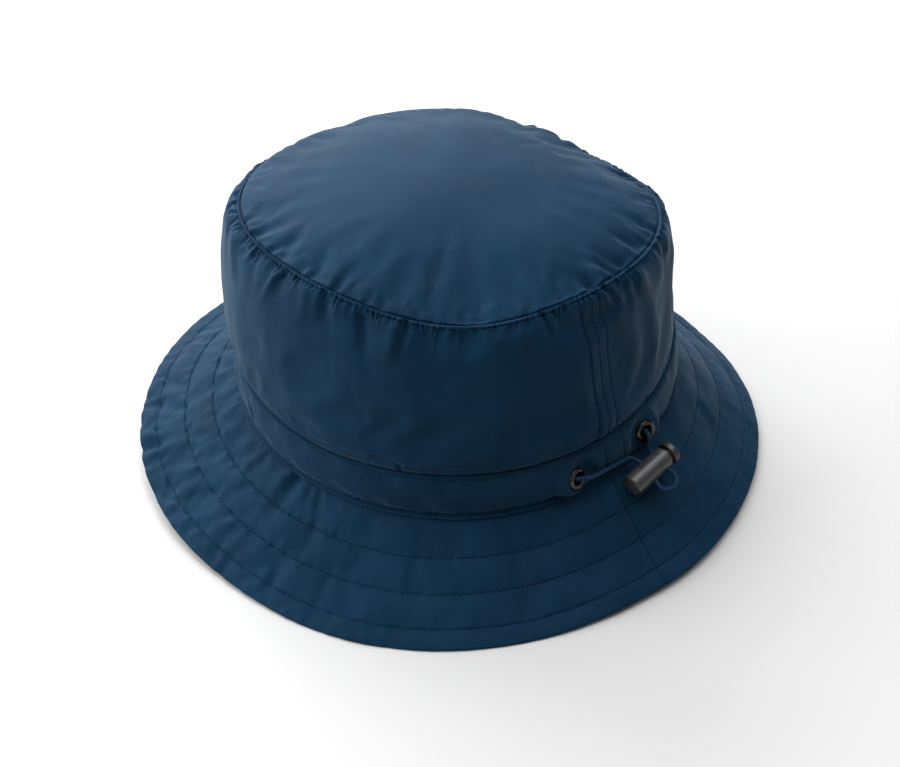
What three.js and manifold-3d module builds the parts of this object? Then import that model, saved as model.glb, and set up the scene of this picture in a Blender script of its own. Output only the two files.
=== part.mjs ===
// A hiking hat of thin woven cloth: a domed top panel, a gathered wall, a band that is the drawcord's
// casing, and a sloping brim. Two eyelets let an elastic cord out of the band, and a sprung barrel
// lock sits on the cord. Millimetres, +Z up. The origin is on the floor under the middle of the brim,
// the front faces -Y and the back seam is at +Y. Directions round the hat are turns in degrees from +X.
import * as THREE from 'three';
import Module from 'manifold-3d';
import { mergeVertices } from 'three/addons/utils/BufferGeometryUtils.js';

// Driving sizes
const CROWN_AXIS = { x: -1.75, y: 1.5 }; // the crown stands a little off the middle of the brim
const CLOTH = 1.1; // thickness of the crown and the band
const BRIM_THICKNESS = 1.6; // two layers of cloth and their stiffening
const SEWN_GAP = 0.4; // room between two pieces at a seam
const CHANNEL = 2.0; // room for the cord between the band and the wall behind it
const TOP_HEIGHT = 139; // middle of the top panel above the floor
const TOP_ROUNDNESS = 2.2; // how late the top panel turns down towards its seam
const TOP_DROP = 0.9; // the top panel's edge lies this far below the wall's
const OVERHANG = 1.3; // how far the wall stands out over the band's top edge
const BRIM_BOW = -2.4; // the brim sags this far below a straight slope
const REST_WIDTH = 2.2; // flat underside of the hem, where it touches the floor
const HEM_EDGE = 0.2; // the flat underside starts this far in from the rim
const SHOULDER = { start: 0.03, reach: 0.35 }; // fractions of the wall's height that its shoulder takes

// The hat's section at eight turns. seamRadius and seamHeight place the top seam, shoulder and belly
// are how far the wall swells out below it, bandRadius and bandHeight place the band's top edge, lip
// the band's lower edge on the brim, and rim the brim's edge. A rim below the floor is pressed flat.
const SECTIONS = [
  { turn: 0, seamRadius: 83.5, seamHeight: 129.5, shoulder: 3.5, belly: 2, bandRadius: 94, bandHeight: 58.5,
    lipRadius: 94.5, lipHeight: 35, rimRadius: 135.5, rimHeight: 1.5 },
  { turn: 45, seamRadius: 78, seamHeight: 121, shoulder: 2.5, belly: 1, bandRadius: 90.5, bandHeight: 56,
    lipRadius: 91.5, lipHeight: 32.5, rimRadius: 132, rimHeight: -0.6 },
  { turn: 90, seamRadius: 80.5, seamHeight: 126, shoulder: 3, belly: 0.5, bandRadius: 90.5, bandHeight: 58.5,
    lipRadius: 91.5, lipHeight: 35, rimRadius: 132.5, rimHeight: 2.5 },
  { turn: 135, seamRadius: 82.5, seamHeight: 119.5, shoulder: 3, belly: -0.5, bandRadius: 91.5,
    bandHeight: 61, lipRadius: 94, lipHeight: 38, rimRadius: 133, rimHeight: 2.5 },
  { turn: 180, seamRadius: 79, seamHeight: 110.5, shoulder: 2, belly: 3, bandRadius: 94, bandHeight: 58.5,
    lipRadius: 94.5, lipHeight: 35.5, rimRadius: 132, rimHeight: -0.8 },
  { turn: 225, seamRadius: 80, seamHeight: 115.5, shoulder: 1, belly: 3, bandRadius: 90.5, bandHeight: 56,
    lipRadius: 91.5, lipHeight: 33, rimRadius: 132.5, rimHeight: -0.6 },
  { turn: 270, seamRadius: 87, seamHeight: 115.5, shoulder: 2, belly: 4, bandRadius: 90.5, bandHeight: 58.5,
    lipRadius: 91.5, lipHeight: 35.5, rimRadius: 135.5, rimHeight: 7 },
  { turn: 315, seamRadius: 90.5, seamHeight: 125, shoulder: 5.5, belly: 5, bandRadius: 94, bandHeight: 61,
    lipRadius: 94.5, lipHeight: 38, rimRadius: 138, rimHeight: 9 },
];

// Folds of the wall: from a fraction of its height to another, with the turn at each end, how deep
// the valley is (a ridge if negative) and half its width in degrees. The top seam is at fraction 0.
const WALL_FOLDS = [
  { turn: 18, turnEnd: 21.5, from: 0, to: 0.5, depth: 1.8, width: 4.5 },
  { turn: 27, turnEnd: 26, from: 0.1, to: 0.6, depth: -1.2, width: 5 },
  { turn: 46.5, turnEnd: 46.5, from: 0, to: 0.3, depth: 1.1, width: 4 },
  { turn: 72, turnEnd: 69, from: 0, to: 0.45, depth: 1, width: 5 },
  { turn: 108, turnEnd: 112, from: 0, to: 0.55, depth: 1.4, width: 5 },
  { turn: 132, turnEnd: 130, from: 0, to: 0.35, depth: 1.2, width: 4.5 },
  { turn: 158, turnEnd: 163, from: 0, to: 0.6, depth: 1.7, width: 5.5 },
  { turn: 196, turnEnd: 192, from: 0, to: 0.5, depth: 1.5, width: 5 },
  { turn: 224, turnEnd: 229, from: 0, to: 0.4, depth: 1.2, width: 4.5 },
  { turn: 252, turnEnd: 248, from: 0, to: 0.65, depth: 1.8, width: 5.5 },
  { turn: 283, turnEnd: 287, from: 0, to: 0.45, depth: 1.4, width: 5 },
  { turn: 330, turnEnd: 335, from: 0, to: 0.5, depth: 1.3, width: 5 },
  { turn: 350, turnEnd: 352, from: 0, to: 0.35, depth: 1.2, width: 4.5 },
];

// Folds of the top panel run in from its seam, where the fraction of its radius is 1.
const TOP_FOLDS = [
  { turn: 333, turnEnd: 325, from: 1, to: 0.7, depth: 1, width: 5 },
  { turn: 348, turnEnd: 334, from: 1, to: 0.72, depth: 1.3, width: 5 },
  { turn: 0, turnEnd: -5, from: 1, to: 0.75, depth: 1.1, width: 5 },
  { turn: 47, turnEnd: 45, from: 1, to: 0.78, depth: 0.8, width: 5 },
  { turn: 78, turnEnd: 79, from: 1, to: 0.74, depth: 0.9, width: 6 },
  { turn: 120, turnEnd: 118, from: 1, to: 0.8, depth: 0.9, width: 5 },
  { turn: 158, turnEnd: 160, from: 1, to: 0.7, depth: 1.6, width: 5 },
  { turn: 178, turnEnd: 186, from: 1, to: 0.62, depth: 1.8, width: 5 },
  { turn: 205, turnEnd: 210, from: 1, to: 0.7, depth: 1.2, width: 5 },
  { turn: 262, turnEnd: 260, from: 1, to: 0.75, depth: 1.1, width: 5 },
];

// A fold has this share of its depth at its very start, and all of it after this share of its length
const FOLD_START = { depth: 0.25, length: 0.125 };
// Small gathers just below the top seam, and where they start and fade, as fractions of the height
const GATHERS = { count: 28, depth: 0.55, start: 0.05, reach: 0.16 };
// Shallow waves of the brim between its stitching, the phase in degrees
const BRIM_WAVES = { count: 7, height: 0.5, phase: 132 };

// Each eyelet sits in the band at a turn and a fraction of the band's height, on cloth that the cord
// has pulled out by lift, swung round by swing and tipped up by tip, in degrees.
const EYELETS = [
  { name: 'eyelet_left', turn: 75.8, down: 0.58, lift: 1.9, swing: 20, tip: 14 },
  { name: 'eyelet_right', turn: 100.5, down: 0.545, lift: 1.9, swing: -24, tip: 14 },
];
// Radii of an eyelet's hole, neck, rolled rim and back flange, and the heights of its rim
const EYELET = {
  hole: 2.3,
  neck: 2.8,
  crest: 3.8,
  flange: 4.75,
  bevel: 0.3,
  shoulder: 0.6,
  height: 1.3,
  backFlange: 3.7,
  backThickness: 0.45,
  sides: 16,
};
const EYELET_GAP = 0.3;
const SEAT = { flat: 5.2, blend: 11, edge: 0.12 }; // the pulled-out cloth round an eyelet
const SEAT_COLUMNS = [-5, -3.2, -1.6, 0, 1.6, 3.2, 5]; // extra columns at an eyelet, in degrees from it
const COLUMN_SPACING = 1.2; // least turn between two columns of the band

// The barrel lock: where the middle of its closed end is, which way its plunger points (heading round
// from +X and rise above level) and how far its cord holes are rolled down, in degrees.
const LOCK = { x: 1.9, y: 101.6, z: 33.9, heading: 179, rise: 10.7, roll: 28 };
const BARREL = { radius: 4.7, length: 20.5, bore: 3.55, floor: 3, edge: 0.8, sides: 20 };
// Cord holes straight through the barrel, at these distances from its closed end
const CORD_HOLES = { places: [10.3, 17.3], radius: 1.45, sides: 12 };
const PLUNGER = {
  stem: 3.2,
  start: 6.6,
  neck: 1.6,
  headRadius: 5.1,
  headLength: 2.6,
  edge: 0.6,
  slot: 1.4,
  sides: 18,
};
const TRAVEL = 1.3; // how far the plunger presses in
const CLEAR = 1; // a cutter goes this far past what it cuts
const CUT_REACH = 6; // half the length of the cutters for the eyelets

// The cord's centreline from inside the left eyelet, through the lock, round its loop and back
// into the right eyelet, from the crown's axis
const CORD_RADIUS = 1;
const CORD_STEPS = 56;
const CORD_SIDES = 8;
const CORD_SAMPLES = 1200;
const CORD_ROUTE = [
  [23.3, 89.4, 43.9], [20.2, 92.1, 44], [18.4, 93.2, 43.9], [16.3, 93.6, 43.6], [12.3, 93.6, 43],
  [8.4, 93.7, 42.4], [4.4, 93.7, 41.8], [0.4, 93.8, 41.2], [-3.5, 93.8, 40.5], [-5.6, 94.3, 40],
  [-7.2, 95.6, 39.1], [-7.9, 97.5, 38], [-8.2, 101.7, 35.8], [-8.3, 103.2, 35.1], [-8.4, 104.3, 34.5],
  [-8.4, 105.5, 33.8], [-8.1, 106.7, 33.1], [-7.9, 108.6, 32.1], [-8.7, 110.4, 31.3], [-10.4, 111.7, 30.9],
  [-12.5, 112.2, 31], [-14.5, 111.8, 31.7], [-16, 110.5, 32.6], [-16.5, 108.7, 33.7], [-16, 106.8, 34.6],
  [-15.5, 105.7, 35.1], [-15.3, 104.4, 35.8], [-15.2, 103.3, 36.4], [-15.1, 101.9, 37.1], [-14.8, 98, 39.1],
  [-14.8, 96.7, 40.1], [-15.1, 95.8, 41.4], [-15.6, 95.4, 42.9], [-16.3, 94.8, 44.6], [-16.9, 93.3, 45.9],
  [-17.2, 91.4, 46.6], [-17.2, 90.9, 46.6],
];

// Number of columns round each cloth piece
const COLUMNS = { wall: 84, top: 78, band: 72, brim: 84 };

const FULL_TURN = 360;
const JOIN_DISTANCE = 1e-4; // corners nearer than this are one corner
const radians = THREE.MathUtils.degToRad;

// One column of the section table at any turn, as a smooth closed curve through its eight rows
function section(column, turn) {
  const count = SECTIONS.length;
  const place = (THREE.MathUtils.euclideanModulo(turn, FULL_TURN) / FULL_TURN) * count;
  const row = Math.floor(place);
  const f = place - row;
  const [a, b, c, d] = [-1, 0, 1, 2].map((step) => SECTIONS[(row + step + count) % count][column]);
  return b + 0.5 * f * (c - a + f * (2 * a - 5 * b + 4 * c - d + f * (3 * (b - c) + d - a)));
}

const mix = THREE.MathUtils.lerp;
const smooth = (value) => THREE.MathUtils.smoothstep(value, 0, 1);

// Depth of all folds of a table at a turn and a fraction along the cloth
function foldDepth(folds, turn, fraction) {
  let depth = 0;
  for (const fold of folds) {
    const along = (fraction - fold.from) / (fold.to - fold.from);
    if (along < 0 || along > 1) continue;
    const middle = mix(fold.turn, fold.turnEnd, along);
    const away = THREE.MathUtils.euclideanModulo(turn - middle + FULL_TURN / 2, FULL_TURN) - FULL_TURN / 2;
    const start = mix(FOLD_START.depth, 1, Math.min(along / FOLD_START.length, 1));
    const fade = (1 - smooth(along)) * smooth(start);
    depth += fold.depth * fade * Math.exp(-((away / fold.width) ** 2));
  }
  return depth;
}

// Outer face of the wall, from the top seam at fraction 0 to its lower edge over the band at 1
function wallFace(turn, fraction) {
  const radius = mix(section('seamRadius', turn), section('bandRadius', turn) + OVERHANG, fraction);
  const height = mix(section('seamHeight', turn), section('bandHeight', turn) + SEWN_GAP, fraction);
  const shoulder = section('shoulder', turn) * Math.exp(-fraction / SHOULDER.reach)
    * (1 - Math.exp(-fraction / SHOULDER.start));
  const belly = section('belly', turn) * Math.sin(Math.PI * fraction);
  const gather = GATHERS.depth * Math.exp(-fraction / GATHERS.reach) * smooth(fraction / GATHERS.start)
    * Math.cos(GATHERS.count * radians(turn));
  return [radius + shoulder + belly - gather - foldDepth(WALL_FOLDS, turn, fraction), height];
}

// Upper face of the top panel, from its middle at fraction 0 to its edge at 1
function topFace(turn, fraction) {
  const radius = (section('seamRadius', turn) - CLOTH - SEWN_GAP) * fraction;
  const edge = section('seamHeight', turn) - TOP_DROP;
  const fold = foldDepth(TOP_FOLDS, turn, fraction);
  return [radius, mix(TOP_HEIGHT, edge, fraction ** TOP_ROUNDNESS) - fold];
}

// Outer face of the band before the eyelets pull it out, from its top edge at 0 to its lip at 1
function plainBandFace(turn, fraction) {
  return [
    mix(section('bandRadius', turn), section('lipRadius', turn), fraction),
    mix(section('bandHeight', turn), section('lipHeight', turn), fraction),
  ];
}

// Where an eyelet's seat is, and the way that it faces
function seatOf(eyelet) {
  const [radius, height] = plainBandFace(eyelet.turn, eyelet.down);
  const turn = radians(eyelet.turn);
  const facing = radians(eyelet.turn + eyelet.swing);
  const tip = radians(eyelet.tip);
  const reach = radius + eyelet.lift;
  return {
    point: new THREE.Vector3(reach * Math.cos(turn), reach * Math.sin(turn), height),
    normal: new THREE.Vector3(
      Math.cos(tip) * Math.cos(facing), Math.cos(tip) * Math.sin(facing), Math.sin(tip),
    ),
  };
}

// Outer face of the band, flat and tipped under each eyelet
function bandFace(turn, fraction) {
  const [radius, height] = plainBandFace(turn, fraction);
  let pulled = radius;
  for (const eyelet of EYELETS) {
    const { point, normal } = seatOf(eyelet);
    const across = radius * radians(turn - eyelet.turn);
    const distance = Math.hypot(across, height - point.z);
    const direction = new THREE.Vector3(Math.cos(radians(turn)), Math.sin(radians(turn)), 0);
    const seat = (point.dot(normal) - height * normal.z) / direction.dot(normal);
    const held = smooth((1 - fraction) / SEAT.edge) * smooth(fraction / SEAT.edge);
    const weight = held * (1 - smooth((distance - SEAT.flat) / (SEAT.blend - SEAT.flat)));
    pulled += weight * (seat - radius);
  }
  return [pulled, height];
}

// Upper face of the brim, from the band's lip at 0 to the rim at 1
function brimFace(turn, fraction) {
  const lip = new THREE.Vector2(section('lipRadius', turn), section('lipHeight', turn) - SEWN_GAP);
  const rest = Math.max(section('rimHeight', turn), 0);
  const rim = new THREE.Vector2(section('rimRadius', turn), rest + BRIM_THICKNESS);
  const slope = rim.clone().sub(lip).normalize();
  const wave = BRIM_WAVES.height * Math.sin(radians(BRIM_WAVES.count * turn + BRIM_WAVES.phase));
  const bow = (BRIM_BOW + wave) * 4 * fraction * (1 - fraction);
  return [
    mix(lip.x, rim.x, fraction) - slope.y * bow,
    mix(lip.y, rim.y, fraction) + slope.x * bow,
  ];
}

// The face that lies one thickness behind a face, square to it
function behind(face, turn, fraction, thickness, inward) {
  const step = 0.01;
  const [r0, z0] = face(turn, fraction - step);
  const [r1, z1] = face(turn, fraction + step);
  const along = new THREE.Vector2(r1 - r0, z1 - z0).normalize();
  const [radius, height] = face(turn, fraction);
  return [radius + inward * along.y * thickness, height - inward * along.x * thickness];
}

// Evenly spaced columns round the hat
function evenTurns(count) {
  return Array.from({ length: count }, (_, column) => (column * FULL_TURN) / count);
}

// A closed shell: a lathe of the section at the first turn, whose columns then take their own sections.
// Sections go down the outside and up the inside, and one that touches the axis starts and ends there.
function shell(turns, sectionAt) {
  const onAxis = sectionAt(turns[0])[0][0] === 0;
  const sections = turns.map((turn) => {
    const points = sectionAt(turn).reverse();
    return onAxis ? points : [...points, points[0]];
  });
  const profile = sections[0].map(([radius, height]) => new THREE.Vector2(radius, height));
  const geometry = new THREE.LatheGeometry(profile, turns.length);
  const position = geometry.getAttribute('position');
  for (let column = 0; column <= turns.length; column += 1) {
    const turn = radians(turns[column % turns.length]);
    sections[column % turns.length].forEach(([radius, height], point) => {
      const vertex = column * profile.length + point;
      position.setXYZ(vertex, radius * Math.cos(turn), radius * Math.sin(turn), height);
    });
  }
  return joinVertices(geometry);
}

function joinVertices(geometry) {
  geometry.deleteAttribute('normal');
  geometry.deleteAttribute('uv');
  const joined = mergeVertices(geometry, JOIN_DISTANCE);
  joined.computeVertexNormals();
  return joined;
}

// Solids that are joined or cut
const wasm = await Module();
wasm.setup();

function toSolid(geometry) {
  const joined = joinVertices(geometry.clone());
  return new wasm.Manifold(new wasm.Mesh({
    numProp: 3,
    vertProperties: new Float32Array(joined.getAttribute('position').array),
    triVerts: new Uint32Array(joined.index.array),
  }));
}

function toGeometry(solid) {
  const mesh = solid.getMesh();
  const geometry = new THREE.BufferGeometry();
  geometry.setAttribute('position', new THREE.BufferAttribute(new Float32Array(mesh.vertProperties), 3));
  geometry.setIndex(new THREE.BufferAttribute(new Uint32Array(mesh.triVerts), 1));
  geometry.computeVertexNormals();
  return geometry;
}

function cut(geometry, cutters) {
  return toGeometry(cutters.reduce((solid, cutter) => solid.subtract(toSolid(cutter)), toSolid(geometry)));
}

// A cylinder along its own +Z from one height to another
function rod(radius, from, to, sides) {
  return new THREE.CylinderGeometry(radius, radius, to - from, sides)
    .rotateX(Math.PI / 2)
    .translate(0, 0, (from + to) / 2);
}

// A turned piece along +Z from a profile of [radius, height] that goes up its outside
function turned(profile, sides) {
  const points = profile.map(([radius, height]) => new THREE.Vector2(radius, height));
  return joinVertices(new THREE.LatheGeometry(points, sides).rotateX(Math.PI / 2));
}

// A frame at a point whose +Z looks along a direction, and whose +X is the given way across it
function frameAt(point, direction, across) {
  const z = direction.clone().normalize();
  const x = across.clone().addScaledVector(z, -across.dot(z)).normalize();
  const y = z.clone().cross(x);
  return new THREE.Matrix4().makeBasis(x, y, z).setPosition(point);
}

function cloth(color) {
  return new THREE.MeshStandardMaterial({ color, roughness: 0.62, metalness: 0 });
}

function crownWall() {
  const outside = [0, 0.03, 0.1, 0.2, 0.33, 0.48, 0.64, 0.8, 0.93, 1];
  const inside = [0.84, 0.6, 0.36, 0.16, 0.05];
  const behindBand = CLOTH + CHANNEL; // the inner layer's face behind the band's face
  return shell(evenTurns(COLUMNS.wall), (turn) => {
    const seam = [section('seamRadius', turn), section('seamHeight', turn)];
    const foot = [section('bandRadius', turn), section('bandHeight', turn)];
    const lip = [section('lipRadius', turn), section('lipHeight', turn)];
    return [
      ...outside.map((fraction) => wallFace(turn, fraction)),
      [foot[0] - behindBand, foot[1] + SEWN_GAP],
      [lip[0] - behindBand, lip[1] + 2 * SEWN_GAP],
      [lip[0] - behindBand - CLOTH, lip[1] + 2 * SEWN_GAP],
      [foot[0] - behindBand - CLOTH, foot[1] + SEWN_GAP + CLOTH],
      ...inside.map((fraction) => behind(wallFace, turn, fraction, CLOTH, 1)),
      [seam[0] - CLOTH, seam[1] - CLOTH],
    ];
  });
}

function crownTop() {
  const over = [0, 0.2, 0.4, 0.58, 0.74, 0.87, 0.95, 1];
  const under = [1, 0.9, 0.72, 0.45];
  return shell(evenTurns(COLUMNS.top), (turn) => [
    ...over.map((fraction) => topFace(turn, fraction)),
    ...under.map((fraction) => {
      const [radius, height] = topFace(turn, fraction);
      return [radius, height - CLOTH];
    }),
    [0, TOP_HEIGHT - CLOTH],
  ]);
}

function band() {
  const outside = [0, 0.16, 0.34, 0.5, 0.66, 0.84, 1];
  const inside = [1, 0.68, 0.32, 0];
  const near = EYELETS.flatMap(({ turn }) => SEAT_COLUMNS.map((step) => turn + step));
  const plain = evenTurns(COLUMNS.band)
    .filter((turn) => near.every((other) => Math.abs(other - turn) > COLUMN_SPACING));
  const turns = [...plain, ...near].sort((a, b) => a - b);
  const strip = shell(turns, (turn) => [
    ...outside.map((fraction) => bandFace(turn, fraction)),
    ...inside.map((fraction) => {
      const [radius, height] = bandFace(turn, fraction);
      return [radius - CLOTH, height];
    }),
  ]);
  const cutters = EYELETS.flatMap((eyelet) => {
    const place = eyeletFrame(eyelet);
    return [
      rod(EYELET.neck + EYELET_GAP, -CUT_REACH, CUT_REACH, EYELET.sides),
      rod(EYELET.flange + EYELET_GAP, 0, CUT_REACH, EYELET.sides),
      rod(EYELET.backFlange + EYELET_GAP, -CUT_REACH, -CLOTH, EYELET.sides),
    ].map((cutter) => cutter.applyMatrix4(place));
  });
  return cut(strip, cutters);
}

function brim() {
  const over = [0, 0.15, 0.3, 0.58, 0.857, 1];
  const under = [0.857, 0.5, 0.12];
  const innerEdge = CLOTH + CHANNEL + CLOTH; // as far in as the wall's inner layer
  return shell(evenTurns(COLUMNS.brim), (turn) => {
    const lip = [section('lipRadius', turn), section('lipHeight', turn)];
    const rim = [section('rimRadius', turn), Math.max(section('rimHeight', turn), 0)];
    return [
      [lip[0] - innerEdge, lip[1]],
      ...over.map((fraction) => brimFace(turn, fraction)),
      [rim[0] - HEM_EDGE, rim[1]],
      [rim[0] - HEM_EDGE - REST_WIDTH, rim[1]],
      ...under.map((fraction) => behind(brimFace, turn, fraction, BRIM_THICKNESS, 1)),
      [lip[0] - innerEdge, lip[1] - BRIM_THICKNESS],
    ];
  });
}

function eyeletFrame(eyelet) {
  const { point, normal } = seatOf(eyelet);
  return frameAt(point, normal, new THREE.Vector3(0, 0, 1));
}

function eyeletRing() {
  const { hole, neck, crest, flange, bevel, shoulder, height, backFlange, backThickness, sides } = EYELET;
  const back = -CLOTH - EYELET_GAP;
  return turned([
    [hole, back - backThickness],
    [backFlange, back - backThickness],
    [backFlange, back],
    [neck, back],
    [neck, EYELET_GAP],
    [flange, EYELET_GAP],
    [flange - bevel, EYELET_GAP + shoulder],
    [crest, height],
    [crest - bevel, height],
    [hole, height - shoulder],
    [hole, back - backThickness],
  ], sides);
}

// The lock's frame: +Z from the closed end to the plunger, +X out of the cord holes to the loop
function lockFrame() {
  const heading = radians(LOCK.heading);
  const rise = radians(LOCK.rise);
  const roll = radians(LOCK.roll);
  const along = new THREE.Vector3(
    Math.cos(rise) * Math.cos(heading), Math.cos(rise) * Math.sin(heading), Math.sin(rise),
  );
  const level = new THREE.Vector3(Math.sin(heading), -Math.cos(heading), 0);
  const up = level.clone().cross(along).normalize();
  if (up.z < 0) up.negate();
  const out = level.multiplyScalar(Math.cos(roll)).addScaledVector(up, -Math.sin(roll));
  return frameAt(new THREE.Vector3(LOCK.x, LOCK.y, LOCK.z), along, out);
}

function barrel() {
  const { radius, length, bore, floor, edge, sides } = BARREL;
  const rounding = edge * (1 - Math.SQRT1_2);
  const body = turned([
    [0, 0],
    [radius - edge, 0],
    [radius - rounding, rounding],
    [radius, edge],
    [radius, length - edge / 2],
    [radius - edge / 2, length],
    [bore, length],
    [bore, floor],
    [0, floor],
  ], sides);
  const reach = radius + CLEAR;
  const holes = CORD_HOLES.places.map((place) => rod(CORD_HOLES.radius, -reach, reach, CORD_HOLES.sides)
    .rotateY(Math.PI / 2).translate(0, 0, place));
  return cut(body, holes);
}

function plunger() {
  const { stem, start, neck, headRadius, headLength, edge, slot, sides } = PLUNGER;
  const head = BARREL.length + neck;
  const body = turned([
    [0, start],
    [stem, start],
    [stem, head],
    [headRadius - edge / 2, head],
    [headRadius, head + edge / 2],
    [headRadius, head + headLength - edge],
    [headRadius - edge, head + headLength],
    [0, head + headLength],
  ], sides);
  const slots = CORD_HOLES.places.map((place) => {
    const low = place - slot;
    const high = place + slot + TRAVEL;
    return new THREE.BoxGeometry(2 * (stem + CLEAR), 2 * slot, high - low).translate(0, 0, (low + high) / 2);
  });
  return cut(body, slots);
}

function drawcord() {
  const points = CORD_ROUTE.map(([x, y, z]) => new THREE.Vector3(x, y, z));
  const route = new THREE.CatmullRomCurve3(points, false, 'centripetal');
  route.arcLengthDivisions = CORD_SAMPLES;
  const corners = Array.from({ length: CORD_SIDES }, (_, side) => {
    const angle = (2 * Math.PI * side) / CORD_SIDES;
    return new THREE.Vector2(CORD_RADIUS * Math.cos(angle), CORD_RADIUS * Math.sin(angle));
  });
  const tube = new THREE.ExtrudeGeometry(new THREE.Shape(corners), { steps: CORD_STEPS, extrudePath: route });
  return joinVertices(tube);
}

// The scene: the cloth and the cord in one group at the crown's axis, the lock's pieces in theirs
const hat = new THREE.Group();
hat.position.set(CROWN_AXIS.x, CROWN_AXIS.y, 0);

function piece(name, geometry, material, parent = hat) {
  const mesh = new THREE.Mesh(geometry, material);
  mesh.name = name;
  parent.add(mesh);
  return mesh;
}

piece('crown_top', crownTop(), cloth(0x1f3a52));
piece('crown_wall', crownWall(), cloth(0x1a344c));
piece('band', band(), cloth(0x18304a));
piece('brim', brim(), cloth(0x193249));

for (const eyelet of EYELETS) {
  const metal = new THREE.MeshStandardMaterial({ color: 0x1c1a1a, roughness: 0.3, metalness: 0.9 });
  const ring = piece(eyelet.name, eyeletRing(), metal);
  ring.applyMatrix4(eyeletFrame(eyelet));
}

const elastic = { color: 0x0c1d3a, roughness: 0.7, metalness: 0 };
piece('drawcord', drawcord(), new THREE.MeshStandardMaterial(elastic));

const lock = new THREE.Group();
lock.applyMatrix4(lockFrame());
hat.add(lock);
const plastic = { color: 0x2b2a2b, roughness: 0.42, metalness: 0 };
piece('cord_lock_barrel', barrel(), new THREE.MeshStandardMaterial(plastic), lock);
piece('cord_lock_plunger', plunger(), new THREE.MeshStandardMaterial({ ...plastic, color: 0x222122 }), lock);

const part = new THREE.Group();
part.add(hat);

export default part;
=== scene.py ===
import math

import bpy
import numpy as np
from mathutils import Matrix, Vector


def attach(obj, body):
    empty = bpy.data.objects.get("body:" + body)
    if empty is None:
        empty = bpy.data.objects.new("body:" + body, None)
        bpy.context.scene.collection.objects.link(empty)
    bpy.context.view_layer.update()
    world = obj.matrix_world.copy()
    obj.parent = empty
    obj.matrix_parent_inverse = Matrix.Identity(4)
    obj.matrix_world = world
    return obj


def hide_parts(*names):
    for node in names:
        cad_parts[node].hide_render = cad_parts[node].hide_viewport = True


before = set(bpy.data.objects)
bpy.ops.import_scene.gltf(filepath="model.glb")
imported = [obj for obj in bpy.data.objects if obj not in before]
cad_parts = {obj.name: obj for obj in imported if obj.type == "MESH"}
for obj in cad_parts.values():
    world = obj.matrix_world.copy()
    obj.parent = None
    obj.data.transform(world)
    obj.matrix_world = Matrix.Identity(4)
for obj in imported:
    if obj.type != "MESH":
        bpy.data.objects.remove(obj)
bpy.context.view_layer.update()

MM = 0.001
FULL_TURN = 360
SIDE_BLEND = 0.7
CROWN_AXIS = (-1.75, 1.5)

# Camera, as far from the hat and as high as the photograph's
PHOTO_WIDTH = 900
FOCAL_PIXELS = 2293.9
SENSOR_WIDTH = 36
CAMERA_TARGET = (0.84, -1.09, 27.8)
CAMERA_BACK = (0.543, 0.543, 0.640)
CAMERA_DISTANCE = 1000


def add_camera():
    data = bpy.data.cameras.new("camera")
    data.sensor_width = SENSOR_WIDTH
    data.lens = FOCAL_PIXELS * SENSOR_WIDTH / PHOTO_WIDTH
    camera = bpy.data.objects.new("camera", data)
    bpy.context.scene.collection.objects.link(camera)
    back = Vector(CAMERA_BACK).normalized()
    camera.location = (Vector(CAMERA_TARGET) + back * CAMERA_DISTANCE) * MM
    camera.rotation_euler = back.to_track_quat("Z", "Y").to_euler()
    bpy.context.scene.camera = camera


add_camera()

# Sizes shared with the solids
CLOTH = 1.1
BRIM_THICKNESS = 1.6
SEWN_GAP = 0.4
CHANNEL = 2.0
TOP_HEIGHT = 139
TOP_ROUNDNESS = 2.2
TOP_DROP = 0.9
OVERHANG = 1.3
BRIM_BOW = -2.4
REST_WIDTH = 2.2
HEM_EDGE = 0.2
SHOULDER_START = 0.03
SHOULDER_START_NEAR = 0.13
SHOULDER_NEAR_TURN = 50
SHOULDER_NEAR_START = -0.1
SHOULDER_REACH = 0.35
BRIM_WAVE_COUNT = 7
BRIM_WAVE_HEIGHT = 0.5
BRIM_WAVE_PHASE = 132

# The hat's section at eight even turns, from 0
SECTION_COLUMNS = (
    "seam_radius", "seam_height", "shoulder", "belly", "band_radius", "band_height",
    "lip_radius", "lip_height", "rim_radius", "rim_height",
)
SECTIONS = np.array([
    (83.5, 129.5, 3.5, 2, 94, 58.5, 94.5, 35, 135.5, 1.5),
    (78, 121, 2.5, 1, 90.5, 56, 91.5, 32.5, 132, -0.6),
    (80.5, 126, 3, 0.5, 90.5, 58.5, 91.5, 35, 132.5, 2.5),
    (82.5, 119.5, 3, -0.5, 91.5, 61, 94, 38, 133, 2.5),
    (79, 110.5, 2, 3, 94, 58.5, 94.5, 35.5, 132, -0.8),
    (80, 115.5, 1, 3, 90.5, 56, 91.5, 33, 132.5, -0.6),
    (87, 115.5, 2, 4, 90.5, 58.5, 91.5, 35.5, 135.5, 7),
    (90.5, 125, 5.5, 5, 94, 61, 94.5, 38, 138, 9),
])

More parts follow.
